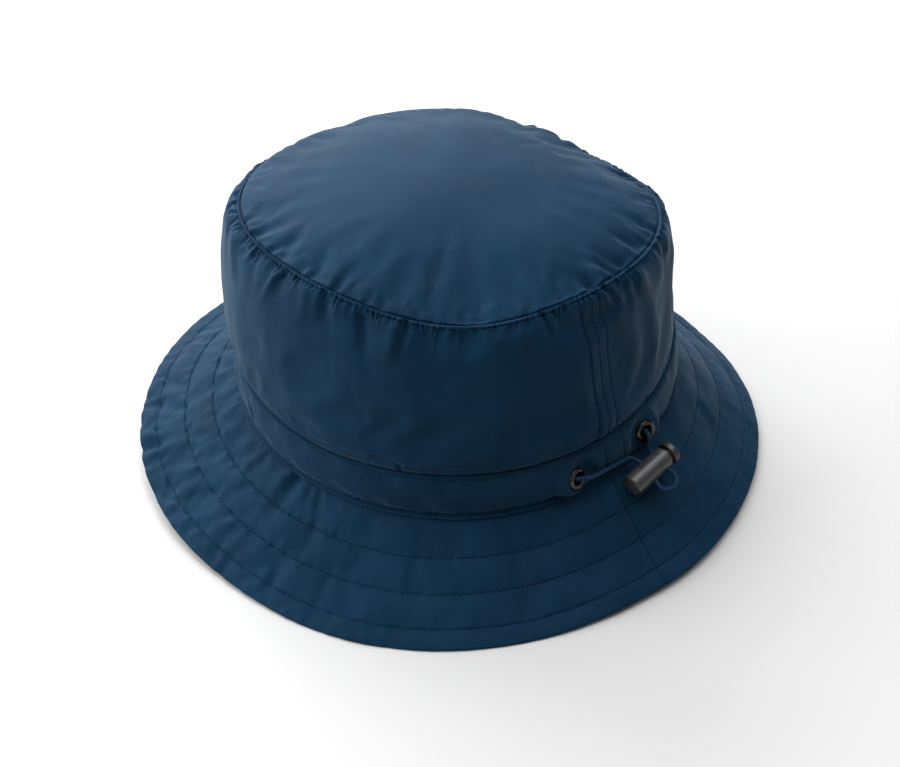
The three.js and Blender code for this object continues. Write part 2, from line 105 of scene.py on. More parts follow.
# Folds: turn at the start and the end, fraction of the cloth at the start and the end, depth, half width
# in degrees. The wall's fractions go down from the top seam and the top's go out from its middle.
WALL_FOLDS = [
    (18, 21.5, 0, 0.5, 1.8, 4.5),
    (27, 26, 0.1, 0.6, -1.2, 5),
    (46.5, 46.5, 0, 0.3, 1.1, 4),
    (72, 69, 0, 0.45, 1, 5),
    (108, 112, 0, 0.55, 1.4, 5),
    (132, 130, 0, 0.35, 1.2, 4.5),
    (158, 163, 0, 0.6, 1.7, 5.5),
    (196, 192, 0, 0.5, 1.5, 5),
    (224, 229, 0, 0.4, 1.2, 4.5),
    (252, 248, 0, 0.65, 1.8, 5.5),
    (283, 287, 0, 0.45, 1.4, 5),
    (330, 335, 0, 0.5, 1.3, 5),
    (350, 352, 0, 0.35, 1.2, 4.5),
]
WALL_FINE_FOLDS = [
    (17.9, 21, 0.02, 0.42, 1.2, 1.9),
    (26.7, 26, 0.02, 0.34, -0.9, 2.0),
    (46.5, 46, 0.015, 0.2, 0.8, 1.6),
    (31, 31.5, 0.02, 0.14, 0.7, 1.3),
    (36.5, 37, 0.02, 0.22, 0.6, 1.5),
    (8, 10, 0.02, 0.3, 0.9, 1.8),
    (1, 2, 0.02, 0.36, -0.8, 2.0),
    (353, 351, 0.02, 0.27, 0.9, 1.6),
    (350.5, 346, 0.04, 0.34, -1.1, 1.3),
    (340, 343, 0.02, 0.33, 0.8, 1.9),
    (328, 335, 0.03, 0.48, -1.0, 2.6),
    (60, 59, 0.02, 0.16, 0.5, 1.5),
    (74, 73, 0.02, 0.28, 0.8, 1.7),
    (95, 97, 0.02, 0.34, 0.9, 1.9),
    (103, 106, 0.02, 0.42, -0.8, 2.2),
    (118, 120, 0.02, 0.3, 0.8, 2.0),
    (141, 138, 0.02, 0.36, 0.9, 2.1),
    (166, 169, 0.02, 0.4, 0.9, 2.0),
    (184, 182, 0.02, 0.32, -0.8, 2.2),
    (209, 213, 0.02, 0.36, 0.9, 2.0),
    (236, 233, 0.02, 0.34, 0.8, 2.1),
    (261, 265, 0.02, 0.4, 1.0, 2.1),
    (276, 274, 0.02, 0.3, -0.8, 2.0),
    (300, 304, 0.02, 0.38, 0.9, 2.0),
]
# Where the wall stands out of its even section: turn, fraction, distance, and half widths of both
WALL_SHIFTS = [(325, 0.2, -1.6, 28, 0.45), (137, 0.25, 1.7, 26, 0.2), (137, 0.95, -1.5, 26, 0.25)]
TOP_FOLDS = [
    (333, 320, 1, 0.66, 1.7, 3.0),
    (348.5, 338, 1, 0.70, 1.6, 2.4),
    (1, -7, 1, 0.72, 1.5, 2.6),
    (47, 45, 1, 0.78, 0.8, 5),
    (78, 79, 1, 0.74, 0.9, 6),
    (120, 118, 1, 0.8, 0.9, 5),
    (158, 160, 1, 0.7, 1.6, 5),
    (178, 186, 1, 0.62, 1.8, 5),
    (205, 210, 1, 0.7, 1.2, 5),
    (262, 260, 1, 0.75, 1.1, 5),
    (22, 20, 1, 0.84, 1.0, 2.0),
    (51, 53, 1, 0.82, 1.1, 2.3),
    (86, 80, 1, 0.76, 2.1, 2.6),
    (100, 95, 1, 0.74, 2.1, 2.6),
    (113, 108, 1, 0.76, 1.9, 2.3),
]
FOLD_START_DEPTH = 0.25
FINE_FOLD_DEPTH = 1.5
FOLD_START_LENGTH = 0.125

# Eyelets: turn, fraction down the band, how far the cloth is pulled out, swing and tip in degrees
EYELETS = {
    "eyelet_left": (75.8, 0.58, 1.9, 20, 14),
    "eyelet_right": (100.5, 0.545, 1.9, -24, 14),
}
EYELET_HOLE = 2.3
EYELET_NECK = 2.8
EYELET_FLANGE = 4.75
EYELET_HEIGHT = 1.3
EYELET_CREST = 3.6
EYELET_LIP = 0.45
EYELET_EDGE = 0.95
EYELET_BACK = 3.7
EYELET_GAP = 0.3
SEAT_FLAT = 5.2
SEAT_BLEND = 11
SEAT_EDGE = 0.12
SEAT_GAP = 0.05

# Barrel lock: middle of its closed end, heading, rise and roll in degrees, and its sizes
LOCK_PLACE = (1.9, 101.6, 33.9)
LOCK_HEADING = 179
LOCK_RISE = 10.7
LOCK_ROLL = 28
BARREL_RADIUS = 4.7
BARREL_LENGTH = 20.5
BARREL_BORE = 3.55
BARREL_FLOOR = 3
CORD_HOLES = (10.3, 17.3)
CORD_HOLE_RADIUS = 1.45
STEM_RADIUS = 3.2
STEM_START = 6.6
STEM_NECK = 1.6
HEAD_RADIUS = 5.1
HEAD_LENGTH = 2.6
SLOT_HALF = 1.4
TRAVEL = 1.3

CORD_RADIUS = 1
CORD_ROUTE = [
    (23.3, 89.4, 43.9), (20.2, 92.1, 44), (18.4, 93.2, 43.9), (16.3, 93.6, 43.6), (12.3, 93.6, 43),
    (8.4, 93.7, 42.4), (4.4, 93.7, 41.8), (0.4, 93.8, 41.2), (-3.5, 93.8, 40.5), (-5.6, 94.3, 40),
    (-7.2, 95.6, 39.1), (-7.9, 97.5, 38), (-8.2, 101.7, 35.8), (-8.3, 103.2, 35.1), (-8.4, 104.3, 34.5),
    (-8.4, 105.5, 33.8), (-8.1, 106.7, 33.1), (-7.9, 108.6, 32.1), (-8.7, 110.4, 31.3), (-10.4, 111.7, 30.9),
    (-12.5, 112.2, 31), (-14.5, 111.8, 31.7), (-16, 110.5, 32.6), (-16.5, 108.7, 33.7), (-16, 106.8, 34.6),
    (-15.5, 105.7, 35.1), (-15.3, 104.4, 35.8), (-15.2, 103.3, 36.4), (-15.1, 101.9, 37.1), (-14.8, 98, 39.1),
    (-14.8, 96.7, 40.1), (-15.1, 95.8, 41.4), (-15.6, 95.4, 42.9), (-16.3, 94.8, 44.6), (-16.9, 93.3, 45.9),
    (-17.2, 91.4, 46.6), (-17.2, 90.9, 46.6),
]


def mix(a, b, t):
    return a + (b - a) * t


def smooth(value):
    t = np.clip(value, 0, 1)
    return t * t * (3 - 2 * t)


def rise(distance, over):
    """From 0 to 1 over a distance"""
    return smooth(distance / over)


def unit(vectors):
    return vectors / np.maximum(np.linalg.norm(vectors, axis=-1, keepdims=True), 1e-9)


def wrapped(turns):
    """Turns as the nearest way round, from -180 to 180"""
    return np.mod(turns + FULL_TURN / 2, FULL_TURN) - FULL_TURN / 2


def side_of(turns, turn, start):
    """1 on the hat's side at a turn and 0 on its other side. It begins where the cosine between is start."""
    return smooth((np.cos(np.radians(turns - turn)) - start) / SIDE_BLEND)


def circle(sides, first, second):
    """Points round a unit circle at each place, from two directions across it"""
    angle = (np.arange(sides) * 2 * math.pi / sides)[:, None]
    return np.cos(angle) * first[..., None, :] + np.sin(angle) * second[..., None, :]


# Meshes
def add_mesh(name, points, faces, uv=None):
    """An object from points in millimetres about the crown's axis. uv holds a pair for each point."""
    mesh = bpy.data.meshes.new(name)
    places = (np.asarray(points, float) + (*CROWN_AXIS, 0)) * MM
    mesh.from_pydata(places.tolist(), [], faces)
    if uv is not None:
        layer = mesh.uv_layers.new(name="cloth")
        corners = np.zeros(len(mesh.loops), dtype=np.int32)
        mesh.loops.foreach_get("vertex_index", corners)
        layer.data.foreach_set("uv", np.asarray(uv, np.float32)[corners].ravel())
    mesh.shade_smooth()
    piece = bpy.data.objects.new(name, mesh)
    bpy.context.scene.collection.objects.link(piece)
    return piece


def grid_faces(rows, columns, closed_rows=False, first=0):
    """Quads of a grid that closes round its columns, with its outside on the left of each row"""
    row = np.arange(rows if closed_rows else rows - 1)[:, None]
    column = np.arange(columns)[None, :]
    below = (row + 1) % rows
    beside = (column + 1) % columns
    corners = (
        row * columns + column, below * columns + column, below * columns + beside, row * columns + beside,
    )
    return (np.stack(corners, axis=-1).reshape(-1, 4) + first).tolist()


def joining_faces(columns, fine_first, coarse_first):
    """Faces between a row and the coarser row below it, which has half as many points"""
    faces = []
    for column in range(columns):
        beside = (column + 1) % columns
        faces.append((
            fine_first + 2 * column, coarse_first + column, coarse_first + beside,
            fine_first + 2 * beside, fine_first + 2 * column + 1,
        ))
    return faces


def tube_faces(rings, sides, ring_points):
    """Quads of a tube, whose rings have a point for each side or one more that repeats their first"""
    row, column = (values.ravel() for values in np.mgrid[:rings - 1, :sides])
    beside = (column + 1) % ring_points
    low, high = row * ring_points, (row + 1) * ring_points
    return np.stack([low + column, low + beside, high + beside, high + column], axis=1)


def belongs(piece, body, slot, *nodes):
    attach(piece, body)
    if nodes:
        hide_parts(*nodes)


# Materials. A noise stays near its middle, so only that part of its range is used.
TONE_RANGE = (0.35, 0.65)
SPREAD_RANGE = (0.3, 0.7)


class Surface:
    """A material and the nodes that feed its shader"""

    def __init__(self, name):
        self.material = bpy.data.materials.new(name)
        self.material.use_nodes = True
        self.nodes = self.material.node_tree.nodes

    def put(self, node, sockets):
        """Sets a node's sockets to values, or links the outputs of other nodes to them"""
        for socket, value in sockets.items():
            if isinstance(value, bpy.types.NodeSocket):
                self.material.node_tree.links.new(value, node.inputs[socket])
            else:
                node.inputs[socket].default_value = value

    def finish(self, sockets):
        """The material, with its shader's sockets set"""
        self.put(next(node for node in self.nodes if node.type == "BSDF_PRINCIPLED"), sockets)
        return self.material

    def add(self, kind, output, sockets):
        """The output of a new node"""
        node = self.nodes.new(kind)
        self.put(node, sockets)
        return node.outputs[output]

    def noise(self, scale, detail):
        place = self.add("ShaderNodeTexCoord", "Object", {})
        return self.add("ShaderNodeTexNoise", "Fac", {"Scale": scale, "Detail": detail, "Vector": place})

    def tones(self, factor, dark, light):
        """A colour between two tones"""
        node = self.nodes.new("ShaderNodeValToRGB")
        for element, place, tone in zip(node.color_ramp.elements, TONE_RANGE, (dark, light)):
            element.position = place
            element.color = (*tone, 1)
        self.put(node, {"Fac": factor})
        return node.outputs["Color"]

    def spread(self, factor, low, high):
        """A value from low to high"""
        start, end = SPREAD_RANGE
        return self.add("ShaderNodeMapRange", "Result", {
            "From Min": start, "From Max": end, "To Min": low, "To Max": high, "Value": factor,
        })

    def maths(self, operation, *values):
        node = self.nodes.new("ShaderNodeMath")
        node.operation = operation
        self.put(node, dict(enumerate(values)))
        return node.outputs["Value"]

    def angles(self, pitches):
        """The piece's two own coordinates as angles that go once round in each pitch"""
        parts = self.nodes.new("ShaderNodeSeparateXYZ")
        self.put(parts, {"Vector": self.add("ShaderNodeTexCoord", "UV", {})})
        places = (parts.outputs[axis] for axis in "XY")
        return [self.maths("MULTIPLY", place, 2 * math.pi / pitch) for place, pitch in zip(places, pitches)]

    def bump(self, height, distance, strength, below=None):
        sockets = {"Strength": strength, "Distance": distance, "Height": height}
        if below is not None:
            sockets["Normal"] = below
        return self.add("ShaderNodeBump", "Normal", sockets)


NYLON_DARK = (0.0024, 0.0176, 0.0378)
NYLON_LIGHT = (0.0034, 0.0222, 0.0474)
WEAVE_PITCHES = (0.00050, 0.00046)


def nylon():
    """Woven cloth with a soft sheen, whose threads go over and under each other"""
    surface = Surface("nylon")
    mottle = surface.noise(scale=38, detail=4)
    grain = surface.noise(scale=900, detail=2)
    crinkle = surface.noise(scale=160, detail=3)
    warp, weft = (surface.maths("SINE", angle) for angle in surface.angles(WEAVE_PITCHES))
    weave = surface.maths("MULTIPLY", warp, weft)
    coarse = surface.bump(crinkle, distance=0.0004, strength=0.25)
    return surface.finish({
        "Base Color": surface.tones(mottle, NYLON_DARK, NYLON_LIGHT),
        "Roughness": surface.spread(grain, low=0.56, high=0.64),
        "Specular IOR Level": 0.04,
        "Sheen Weight": 0.11,
        "Sheen Roughness": 0.4,
        "Sheen Tint": (0.6, 0.8, 1, 1),
        "Normal": surface.bump(weave, distance=0.00004, strength=0.5, below=coarse),
    })


def thread(name, dark, light):
    surface = Surface(name)
    fibre = surface.noise(scale=1400, detail=2)
    return surface.finish({
        "Base Color": surface.tones(fibre, dark, light),
        "Roughness": 0.7,
        "Specular IOR Level": 0.1,
        "Normal": surface.bump(fibre, distance=0.0001, strength=0.5),
    })


# Colours of the braid's hollows and crests: painted shade between the strands and painted light on them
BRAID_DARK = (0.001, 0.0125, 0.034)
BRAID_LIGHT = (0.002, 0.027, 0.066)
BRAID_PITCHES = (1 / 8, 0.0011)


def braid():
    """Two sets of strands crossing round the cord, whose coordinates are once round by metres along. Its
    colour is painted shade in the hollows between the strands and painted light on their crests.
    """
    surface = Surface("braid")
    around, along = surface.angles(BRAID_PITCHES)
    crossings = (surface.maths(operation, around, along) for operation in ("ADD", "SUBTRACT"))
    one, other = (surface.maths("SINE", crossing) for crossing in crossings)
    strands = surface.maths("MAXIMUM", one, other)
    return surface.finish({
        # Painted shade and light: darker where the strands dip, lighter where they rise
        "Base Color": surface.tones(strands, BRAID_DARK, BRAID_LIGHT),
        "Roughness": 0.45,
        "Specular IOR Level": 0.14,
        "Sheen Weight": 0.03,
        "Sheen Tint": (0.3, 0.65, 1, 1),
        "Normal": surface.bump(strands, distance=0.00008, strength=0.6),
    })


def gunmetal():
    surface = Surface("gunmetal")
    wear = surface.noise(scale=700, detail=4)
    return surface.finish({
        "Base Color": surface.tones(wear, dark=(0.036, 0.034, 0.033), light=(0.064, 0.060, 0.057)),
        "Metallic": 1,
        "Roughness": surface.spread(wear, low=0.14, high=0.26),
        "Normal": surface.bump(wear, distance=0.00005, strength=0.3),
    })


def moulded_plastic(name, dark, light, metallic):
    surface = Surface(name)
    mottle = surface.noise(scale=260, detail=3)
    grain = surface.noise(scale=2600, detail=2)
    return surface.finish({
        "Base Color": surface.tones(mottle, dark, light),
        "Metallic": metallic,
        "Roughness": surface.spread(mottle, low=0.33, high=0.42),
        "Normal": surface.bump(grain, distance=0.00004, strength=0.35),
    })


def matt(name, scale, dark, light):
    """A surface with no shine"""
    surface = Surface(name)
    shade = surface.noise(scale, detail=2)
    return surface.finish({
        "Base Color": surface.tones(shade, dark, light),
        "Roughness": 1,
        "Specular IOR Level": 0,
    })


NYLON = nylon()
THREAD = thread("thread", dark=(0.0022, 0.0165, 0.038), light=(0.0030, 0.023, 0.050))
LIP_THREAD = thread("lip_thread", dark=(0.0050, 0.032, 0.066), light=(0.0070, 0.042, 0.086))
# Near-black discs at the needle holes, which paint the shade inside each hole
HOLE_SHADE = matt("needle_hole_shade", scale=900, dark=(0.0007, 0.0048, 0.0140), light=(0.0011, 0.0075, 0.0210))


# The cord, first
def centripetal(route, steps):
    """The smooth curve through a list of points, with a number of steps between each two"""
    points = np.array(route, float)
    points = np.vstack([2 * points[0] - points[1], points, 2 * points[-1] - points[-2]])
    gaps = np.sqrt(np.linalg.norm(np.diff(points, axis=0), axis=1))
    t = np.linspace(0, 1, steps, endpoint=False)[:, None]
    curve = []
    for index in range(1, len(points) - 2):
        before, start, end, after = points[index - 1:index + 3]
        d0, d1, d2 = gaps[index - 1:index + 2]
        leave = ((start - before) / d0 - (end - before) / (d0 + d1) + (end - start) / d1) * d1
        arrive = ((end - start) / d1 - (after - start) / (d1 + d2) + (after - end) / d2) * d1
        square = 3 * (end - start) - 2 * leave - arrive
        cube = 2 * (start - end) + leave + arrive
        curve.append(start + leave * t + square * t ** 2 + cube * t ** 3)
    return np.vstack([*curve, points[-2][None]])


def lengths_along(points):
    return np.concatenate([[0], np.cumsum(np.linalg.norm(np.diff(points, axis=0), axis=1))])


def at_lengths(places, travelled, values):
    """The values of a path at lengths along it"""
    return np.stack([np.interp(places, travelled, values[:, axis]) for axis in range(3)], axis=-1)


def evenly(points, step):
    """Points a step apart along a line of points"""
    travelled = lengths_along(points)
    places = np.linspace(0, travelled[-1], max(2, round(travelled[-1] / step) + 1))
    return at_lengths(places, travelled, points)


def tube_mesh(name, path, radius, sides):
    """A closed tube along a path, whose rings turn with it and don't twist"""
    tangents = unit(np.gradient(path, axis=0))
    side = np.cross(tangents[0], (0, 0, 1))
    rings = []
    angles = np.linspace(0, 2 * math.pi, sides + 1)[:, None]
    for point, tangent in zip(path, tangents):
        side = unit(side - tangent * side.dot(tangent))
        rings.append(point + radius * (np.cos(angles) * side + np.sin(angles) * np.cross(tangent, side)))
    last = (len(path) - 1) * (sides + 1)
    faces = tube_faces(len(path), sides, sides + 1).tolist()
    faces += [tuple(reversed(range(sides))), tuple(range(last, last + sides))]
    uv = [(c / sides, distance) for distance in lengths_along(path) * MM for c in range(sides + 1)]
    return add_mesh(name, np.vstack(rings), faces, uv)


def add_cord():
    path = evenly(centripetal(CORD_ROUTE, steps=24), step=0.3)
    piece = tube_mesh("elastic_cord", path, CORD_RADIUS, sides=14)
    piece.data.materials.append(braid())
    belongs(piece, "hat", "cord", "drawcord")
    return piece, (path + (*CROWN_AXIS, 0)) * MM


CORD, CORD_PATH = add_cord()


# Faces of the hat. Turns are a row of columns and fractions a column of rows.
def cubic(values, places, wrap=True):
    """A smooth curve through a row of values, or through a grid's rows, at places between them"""
    low = np.floor(places).astype(int)
    f = (places - low)[(..., *[None] * (values.ndim - 1))]
    rows = [low + step for step in (-1, 0, 1, 2)]
    last = len(values) - 1
    a, b, c, d = (values[row % (last + 1) if wrap else np.clip(row, 0, last)] for row in rows)
    return b + 0.5 * f * (c - a + f * (2 * a - 5 * b + 4 * c - d + f * (3 * (b - c) + d - a)))


def section(column, turns):
    values = SECTIONS[:, SECTION_COLUMNS.index(column)]
    return cubic(values, np.mod(turns, FULL_TURN) / FULL_TURN * len(values))


def edge_line(name, turns):
    """The radius and height of an edge of the section: seam, band, lip or rim"""
    return section(name + "_radius", turns), section(name + "_height", turns)


def fold_depth(folds, turns, fractions):
    depth = np.zeros(np.broadcast(turns, fractions).shape)
    for turn, turn_end, start, end, deep, width in folds:
        along = (fractions - start) / (end - start)
        inside = (along >= 0) & (along <= 1)
        away = wrapped(turns - mix(turn, turn_end, along)) / width
        begin = smooth(mix(FOLD_START_DEPTH, 1, np.clip(along / FOLD_START_LENGTH, 0, 1)))
        depth = depth + np.where(inside, deep * (1 - smooth(along)) * begin * np.exp(-away ** 2), 0)
    return depth


def wall_face(turns, fractions):
    (seam_r, seam_z), (foot_r, foot_z) = edge_line("seam", turns), edge_line("band", turns)
    shoulder = section("shoulder", turns) * np.exp(-fractions / SHOULDER_REACH)
    near = side_of(turns, SHOULDER_NEAR_TURN, SHOULDER_NEAR_START)
    shoulder = shoulder * (1 - np.exp(-fractions / mix(SHOULDER_START, SHOULDER_START_NEAR, near)))
    belly = section("belly", turns) * np.sin(math.pi * fractions)
    radius = mix(seam_r, foot_r + OVERHANG, fractions) + shoulder + belly
    return radius, mix(seam_z, foot_z + SEWN_GAP, fractions)


def top_face(turns, fractions):
    seam_r, seam_z = edge_line("seam", turns)
    radius = (seam_r - CLOTH - SEWN_GAP) * fractions
    return radius, mix(TOP_HEIGHT, seam_z - TOP_DROP, fractions ** TOP_ROUNDNESS)


def band_plain(turns, fractions):
    (top_r, top_z), (lip_r, lip_z) = edge_line("band", turns), edge_line("lip", turns)
    return mix(top_r, lip_r, fractions), mix(top_z, lip_z, fractions)


def direction(turn, up):
    """The way out at a turn and an angle up, both in degrees"""
    turn, up = math.radians(turn), math.radians(up)
    return np.array([math.cos(up) * math.cos(turn), math.cos(up) * math.sin(turn), math.sin(up)])


def seat_of(eyelet):
    """Where an eyelet's seat is, and the way that it faces"""
    turn, down, lift, swing, tip = eyelet
    radius, height = band_plain(np.array(turn), np.array(down))
    return (radius + lift) * direction(turn, 0) + (0, 0, height), direction(turn + swing, tip)


def seat_weight(turns, fractions, radius, height, eyelet, point):
    """How far the cloth follows an eyelet's seat, from 0 to 1"""
    across = radius * np.radians(wrapped(turns - eyelet[0]))
    distance = np.hypot(across, height - point[2])
    held = rise(1 - fractions, SEAT_EDGE) * rise(fractions, SEAT_EDGE)
    return held * (1 - rise(distance - SEAT_FLAT, SEAT_BLEND - SEAT_FLAT))


def brim_face(turns, fractions):
    (lip_r, lip_z), (rim_r, rim_z) = edge_line("lip", turns), edge_line("rim", turns)
    lip_z = lip_z - SEWN_GAP
    rim_z = np.maximum(rim_z, 0) + BRIM_THICKNESS
    length = np.hypot(rim_r - lip_r, rim_z - lip_z)
    slope_r, slope_z = (rim_r - lip_r) / length, (rim_z - lip_z) / length
    wave = BRIM_WAVE_HEIGHT * np.sin(np.radians(BRIM_WAVE_COUNT * turns + BRIM_WAVE_PHASE))
    bow = (BRIM_BOW + wave) * 4 * fractions * (1 - fractions)
    return mix(lip_r, rim_r, fractions) - slope_z * bow, mix(lip_z, rim_z, fractions) + slope_r * bow


def raised(turns, radius, height):
    """Points of a grid from its radii and heights"""
    angle = np.radians(turns) + 0 * radius
    return np.stack([radius * np.cos(angle), radius * np.sin(angle), height + 0 * angle], axis=-1)


def by_seam(turns, places):
    """Rings at places of (distance inside the top seam, height above it)"""
    radius, height = edge_line("seam", turns)
    return [raised(turns, radius - inside, height + above) for inside, above in places]


def face_grid(face, turns, fractions):
    """The points and radii of a face"""
    radius, height = face(turns[None, :], fractions)
    return raised(turns[None, :], radius, height), radius


def outward(points):
    """The way out of the cloth at each point of a grid whose rows run down or out"""
    across = np.roll(points, -1, axis=1) - np.roll(points, 1, axis=1)
    return unit(np.cross(np.gradient(points, axis=0), across))


def distance_down(points):
    """How far along the cloth each point of a grid is from its first row"""
    steps = np.linalg.norm(np.diff(points, axis=0), axis=-1)
    return np.concatenate([np.zeros((1, points.shape[1])), np.cumsum(steps, axis=0)])


def graded(*parts):
    """Fractions from 0 to 1 in parts of (end, number of steps)"""
    places = [0.0]
    for end, steps in parts:
        start = places[-1]
        places.extend(start + (end - start) * (step + 1) / steps for step in range(steps))
    return np.array(places)[:, None]


def columns_with(count, *finer):
    """Even turns round the hat, with finer steps in parts of (start, end, step)"""
    turns = np.arange(count) * FULL_TURN / count
    for start, end, step in finer:
        turns = turns[(turns < start - step) | (turns > end + step)]
        turns = np.concatenate([turns, np.arange(start, end + step / 2, step)])
    return np.sort(turns)


def halved(turns):
    """Turns with one more in the middle of each step"""
    between = turns + np.diff(np.append(turns, turns[0] + FULL_TURN)) / 2
    return np.stack([turns, between], axis=1).ravel()


# Cloth simulation. Each panel is a little longer than the room between its seams, so it buckles there.
SIM_SCALE = 0.01
SIM_COLUMNS = 240
SIM_TURNS = np.arange(SIM_COLUMNS) * FULL_TURN / SIM_COLUMNS
SIM_FRAMES = 16
SIM_START_HEIGHT = 0.12
SIM_START_WAVES = 24
SIM_FINEST_WAVE = 34
SIM_SETTINGS = {
    "quality": 5, "mass": 0.15, "tension_stiffness": 30, "compression_stiffness": 30, "shear_stiffness": 12,
    "air_damping": 2, "vertex_group_mass": "held", "pin_stiffness": 1,
}


def sim_grid(face, rows):
    """An even grid of a face for its simulation"""
    return face_grid(face, SIM_TURNS, np.linspace(0, 1, rows)[:, None])[0]


def even_noise(rng, rows):
    """Smooth noise round the hat, from sums of waves that drift from row to row"""
    total = np.zeros((len(rows), SIM_COLUMNS))
    for _ in range(SIM_START_WAVES):
        count = rng.integers(2, SIM_FINEST_WAVE)
        phase, drift = rng.uniform(0, 2 * math.pi), rng.uniform(-4, 4)
        total += np.sin(np.radians(SIM_TURNS)[None, :] * count + phase + drift * rows[:, None])
    return total / math.sqrt(SIM_START_WAVES)


def sim_panel(name, base, hold, slack, bending, seed):
    """A panel ready to simulate, which starts a little uneven where it isn't held"""
    noise = even_noise(np.random.default_rng(seed), np.linspace(0, 1, len(base)))
    start = noise[..., None] * SIM_START_HEIGHT * (1 - hold[..., None])
    mesh = bpy.data.meshes.new(name)
    places = (base + outward(base) * start) * SIM_SCALE
    mesh.from_pydata(places.reshape(-1, 3).tolist(), [], grid_faces(*base.shape[:2]))
    panel = bpy.data.objects.new(name, mesh)
    bpy.context.scene.collection.objects.link(panel)
    group = panel.vertex_groups.new(name="held")
    for index, weight in enumerate(hold.ravel()):
        if weight > 0:
            group.add([index], float(weight), "REPLACE")
    cloth = panel.modifiers.new("cloth", "CLOTH")
    for setting, value in SIM_SETTINGS.items():
        setattr(cloth.settings, setting, value)
    cloth.settings.bending_stiffness = bending
    cloth.settings.shrink_min = -slack
    cloth.settings.effector_weights.gravity = 0
    cloth.collision_settings.use_collision = False
    cloth.point_cache.frame_start = 1
    cloth.point_cache.frame_end = SIM_FRAMES
    return panel


def buckled(name, base, held, slack, seed, cap, bending=0.8):
    """How far the points of a panel move, in millimetres, when it is slack between rows held by a weight"""
    hold = np.zeros(base.shape[:2])
    for row, weight in held.items():
        hold[row] = weight
    panel = sim_panel(name, base, hold, slack, bending, seed)
    for number in range(1, SIM_FRAMES + 1):
        bpy.context.scene.frame_set(number)
    settled = panel.evaluated_get(bpy.context.evaluated_depsgraph_get()).data
    coords = np.zeros(base.size, dtype=np.float32)
    settled.vertices.foreach_get("co", coords)
    moved = coords.reshape(base.shape) / SIM_SCALE - base
    mesh = panel.data
    bpy.data.objects.remove(panel)
    bpy.data.meshes.remove(mesh)
    bpy.context.scene.frame_set(1)
    far = np.linalg.norm(moved, axis=-1, keepdims=True)
    return moved * (np.minimum(far, cap) / np.maximum(far, 1e-6))


def finer(moved, fractions, turns):
    """A panel's moves at other fractions and turns. Its own are even."""
    by_row = cubic(moved, fractions[:, 0] * (len(moved) - 1), wrap=False)
    by_column = cubic(by_row.swapaxes(0, 1), np.mod(turns, FULL_TURN) / FULL_TURN * moved.shape[1])
    return by_column.swapaxes(0, 1)


# Small shapes pressed into the cloth. A field is a grid of depths in millimetres, into the cloth.
CREASE_RIDGE_AT = 1.7
CREASE_RIDGE_WIDTH = 0.9
CREASE_RIDGE_HEIGHT = 0.38
CREASE_START_WIDTH = 0.7
CREASE_ONSET = 8
CREASE_TAPER = 1.3
LOOSE_CREASE_ENDS = 3
LEAST_RADIUS = 70

# Spread of random creases: of their places, the logarithm of their sizes, their leans, widths and depths
CREASE_PLACES = (-0.3, 1.3)
CREASE_SIZES = (-0.2, 0.6)
CREASE_LEANS = (0, 12)
CREASE_WIDTHS = (0.8, 1.25)
CREASE_DEPTHS = (0.5, 1.2)
LARGEST_CREASE = 2.6
DEPTH_BY_SIZE = 0.6
RIPPLE_WAVES = 14


def crease_profile(x):
    """Across a crease: a valley with a low ridge on each side"""
    ridges = sum(np.exp(-((x + at) / CREASE_RIDGE_WIDTH) ** 2) for at in (-CREASE_RIDGE_AT, CREASE_RIDGE_AT))
    return np.exp(-x ** 2) - CREASE_RIDGE_HEIGHT * ridges


def press(field, turns, radius, down, crease):
    """Presses one crease into a field. It starts at a turn and a distance down, and leans."""
    turn, start, lean, length, width, depth, held_start = crease
    reach = math.degrees((abs(math.sin(lean)) * length + 4 * width) / LEAST_RADIUS)
    columns = np.nonzero(np.abs(wrapped(turns - turn)) < reach)[0]
    near = down[:, columns]
    rows = np.nonzero(((near > start - 3 * width) & (near < start + length + 3 * width)).any(axis=1))[0]
    if not len(rows):
        return
    part = np.ix_(rows, columns)
    right = np.radians(wrapped(turns[columns] - turn))[None, :] * radius[part]
    below = down[part] - start
    along = (right * math.sin(lean) + below * math.cos(lean)) / length
    across = right * math.cos(lean) - below * math.sin(lean)
    widening = width * CREASE_START_WIDTH * (1 + np.clip(along, 0, 1))
    if held_start:
        fade = smooth(along * CREASE_ONSET + 1) * (1 - smooth(along)) ** CREASE_TAPER
    else:
        fade = smooth(along * LOOSE_CREASE_ENDS) * smooth((1 - along) * LOOSE_CREASE_ENDS)
    field[part] += depth * fade * crease_profile(across / widening)


def press_all(field, turns, radius, down, creases):
    for crease in creases:
        press(field, turns, radius, down, crease)


def press_upwards(field, turns, radius, up, creases):
    """Presses creases that start at the panel's lower side, from the distance up of each point"""
    press_all(field[::-1], turns, radius[::-1], up[::-1], creases)


def random_creases(rng, zones, start, held_start=True):
    """Creases spread over zones of (from turn, to turn, number, depth, length, width, lean)"""
    creases = []
    for low, high, count, depth, length, width, lean in zones:
        for index in range(count):
            turn = low + (index + rng.uniform(*CREASE_PLACES)) * (high - low) / count
            size = min(math.exp(rng.normal(*CREASE_SIZES)), LARGEST_CREASE)
            further = 0 if held_start else rng.uniform(0, length)
            angle = math.radians(lean + rng.normal(*CREASE_LEANS))
            wide = width * math.sqrt(size) * rng.uniform(*CREASE_WIDTHS)
            deep = depth * size ** DEPTH_BY_SIZE * rng.uniform(*CREASE_DEPTHS)
            creases.append((turn, start + further, angle, length * size, wide, deep, held_start))
    return creases


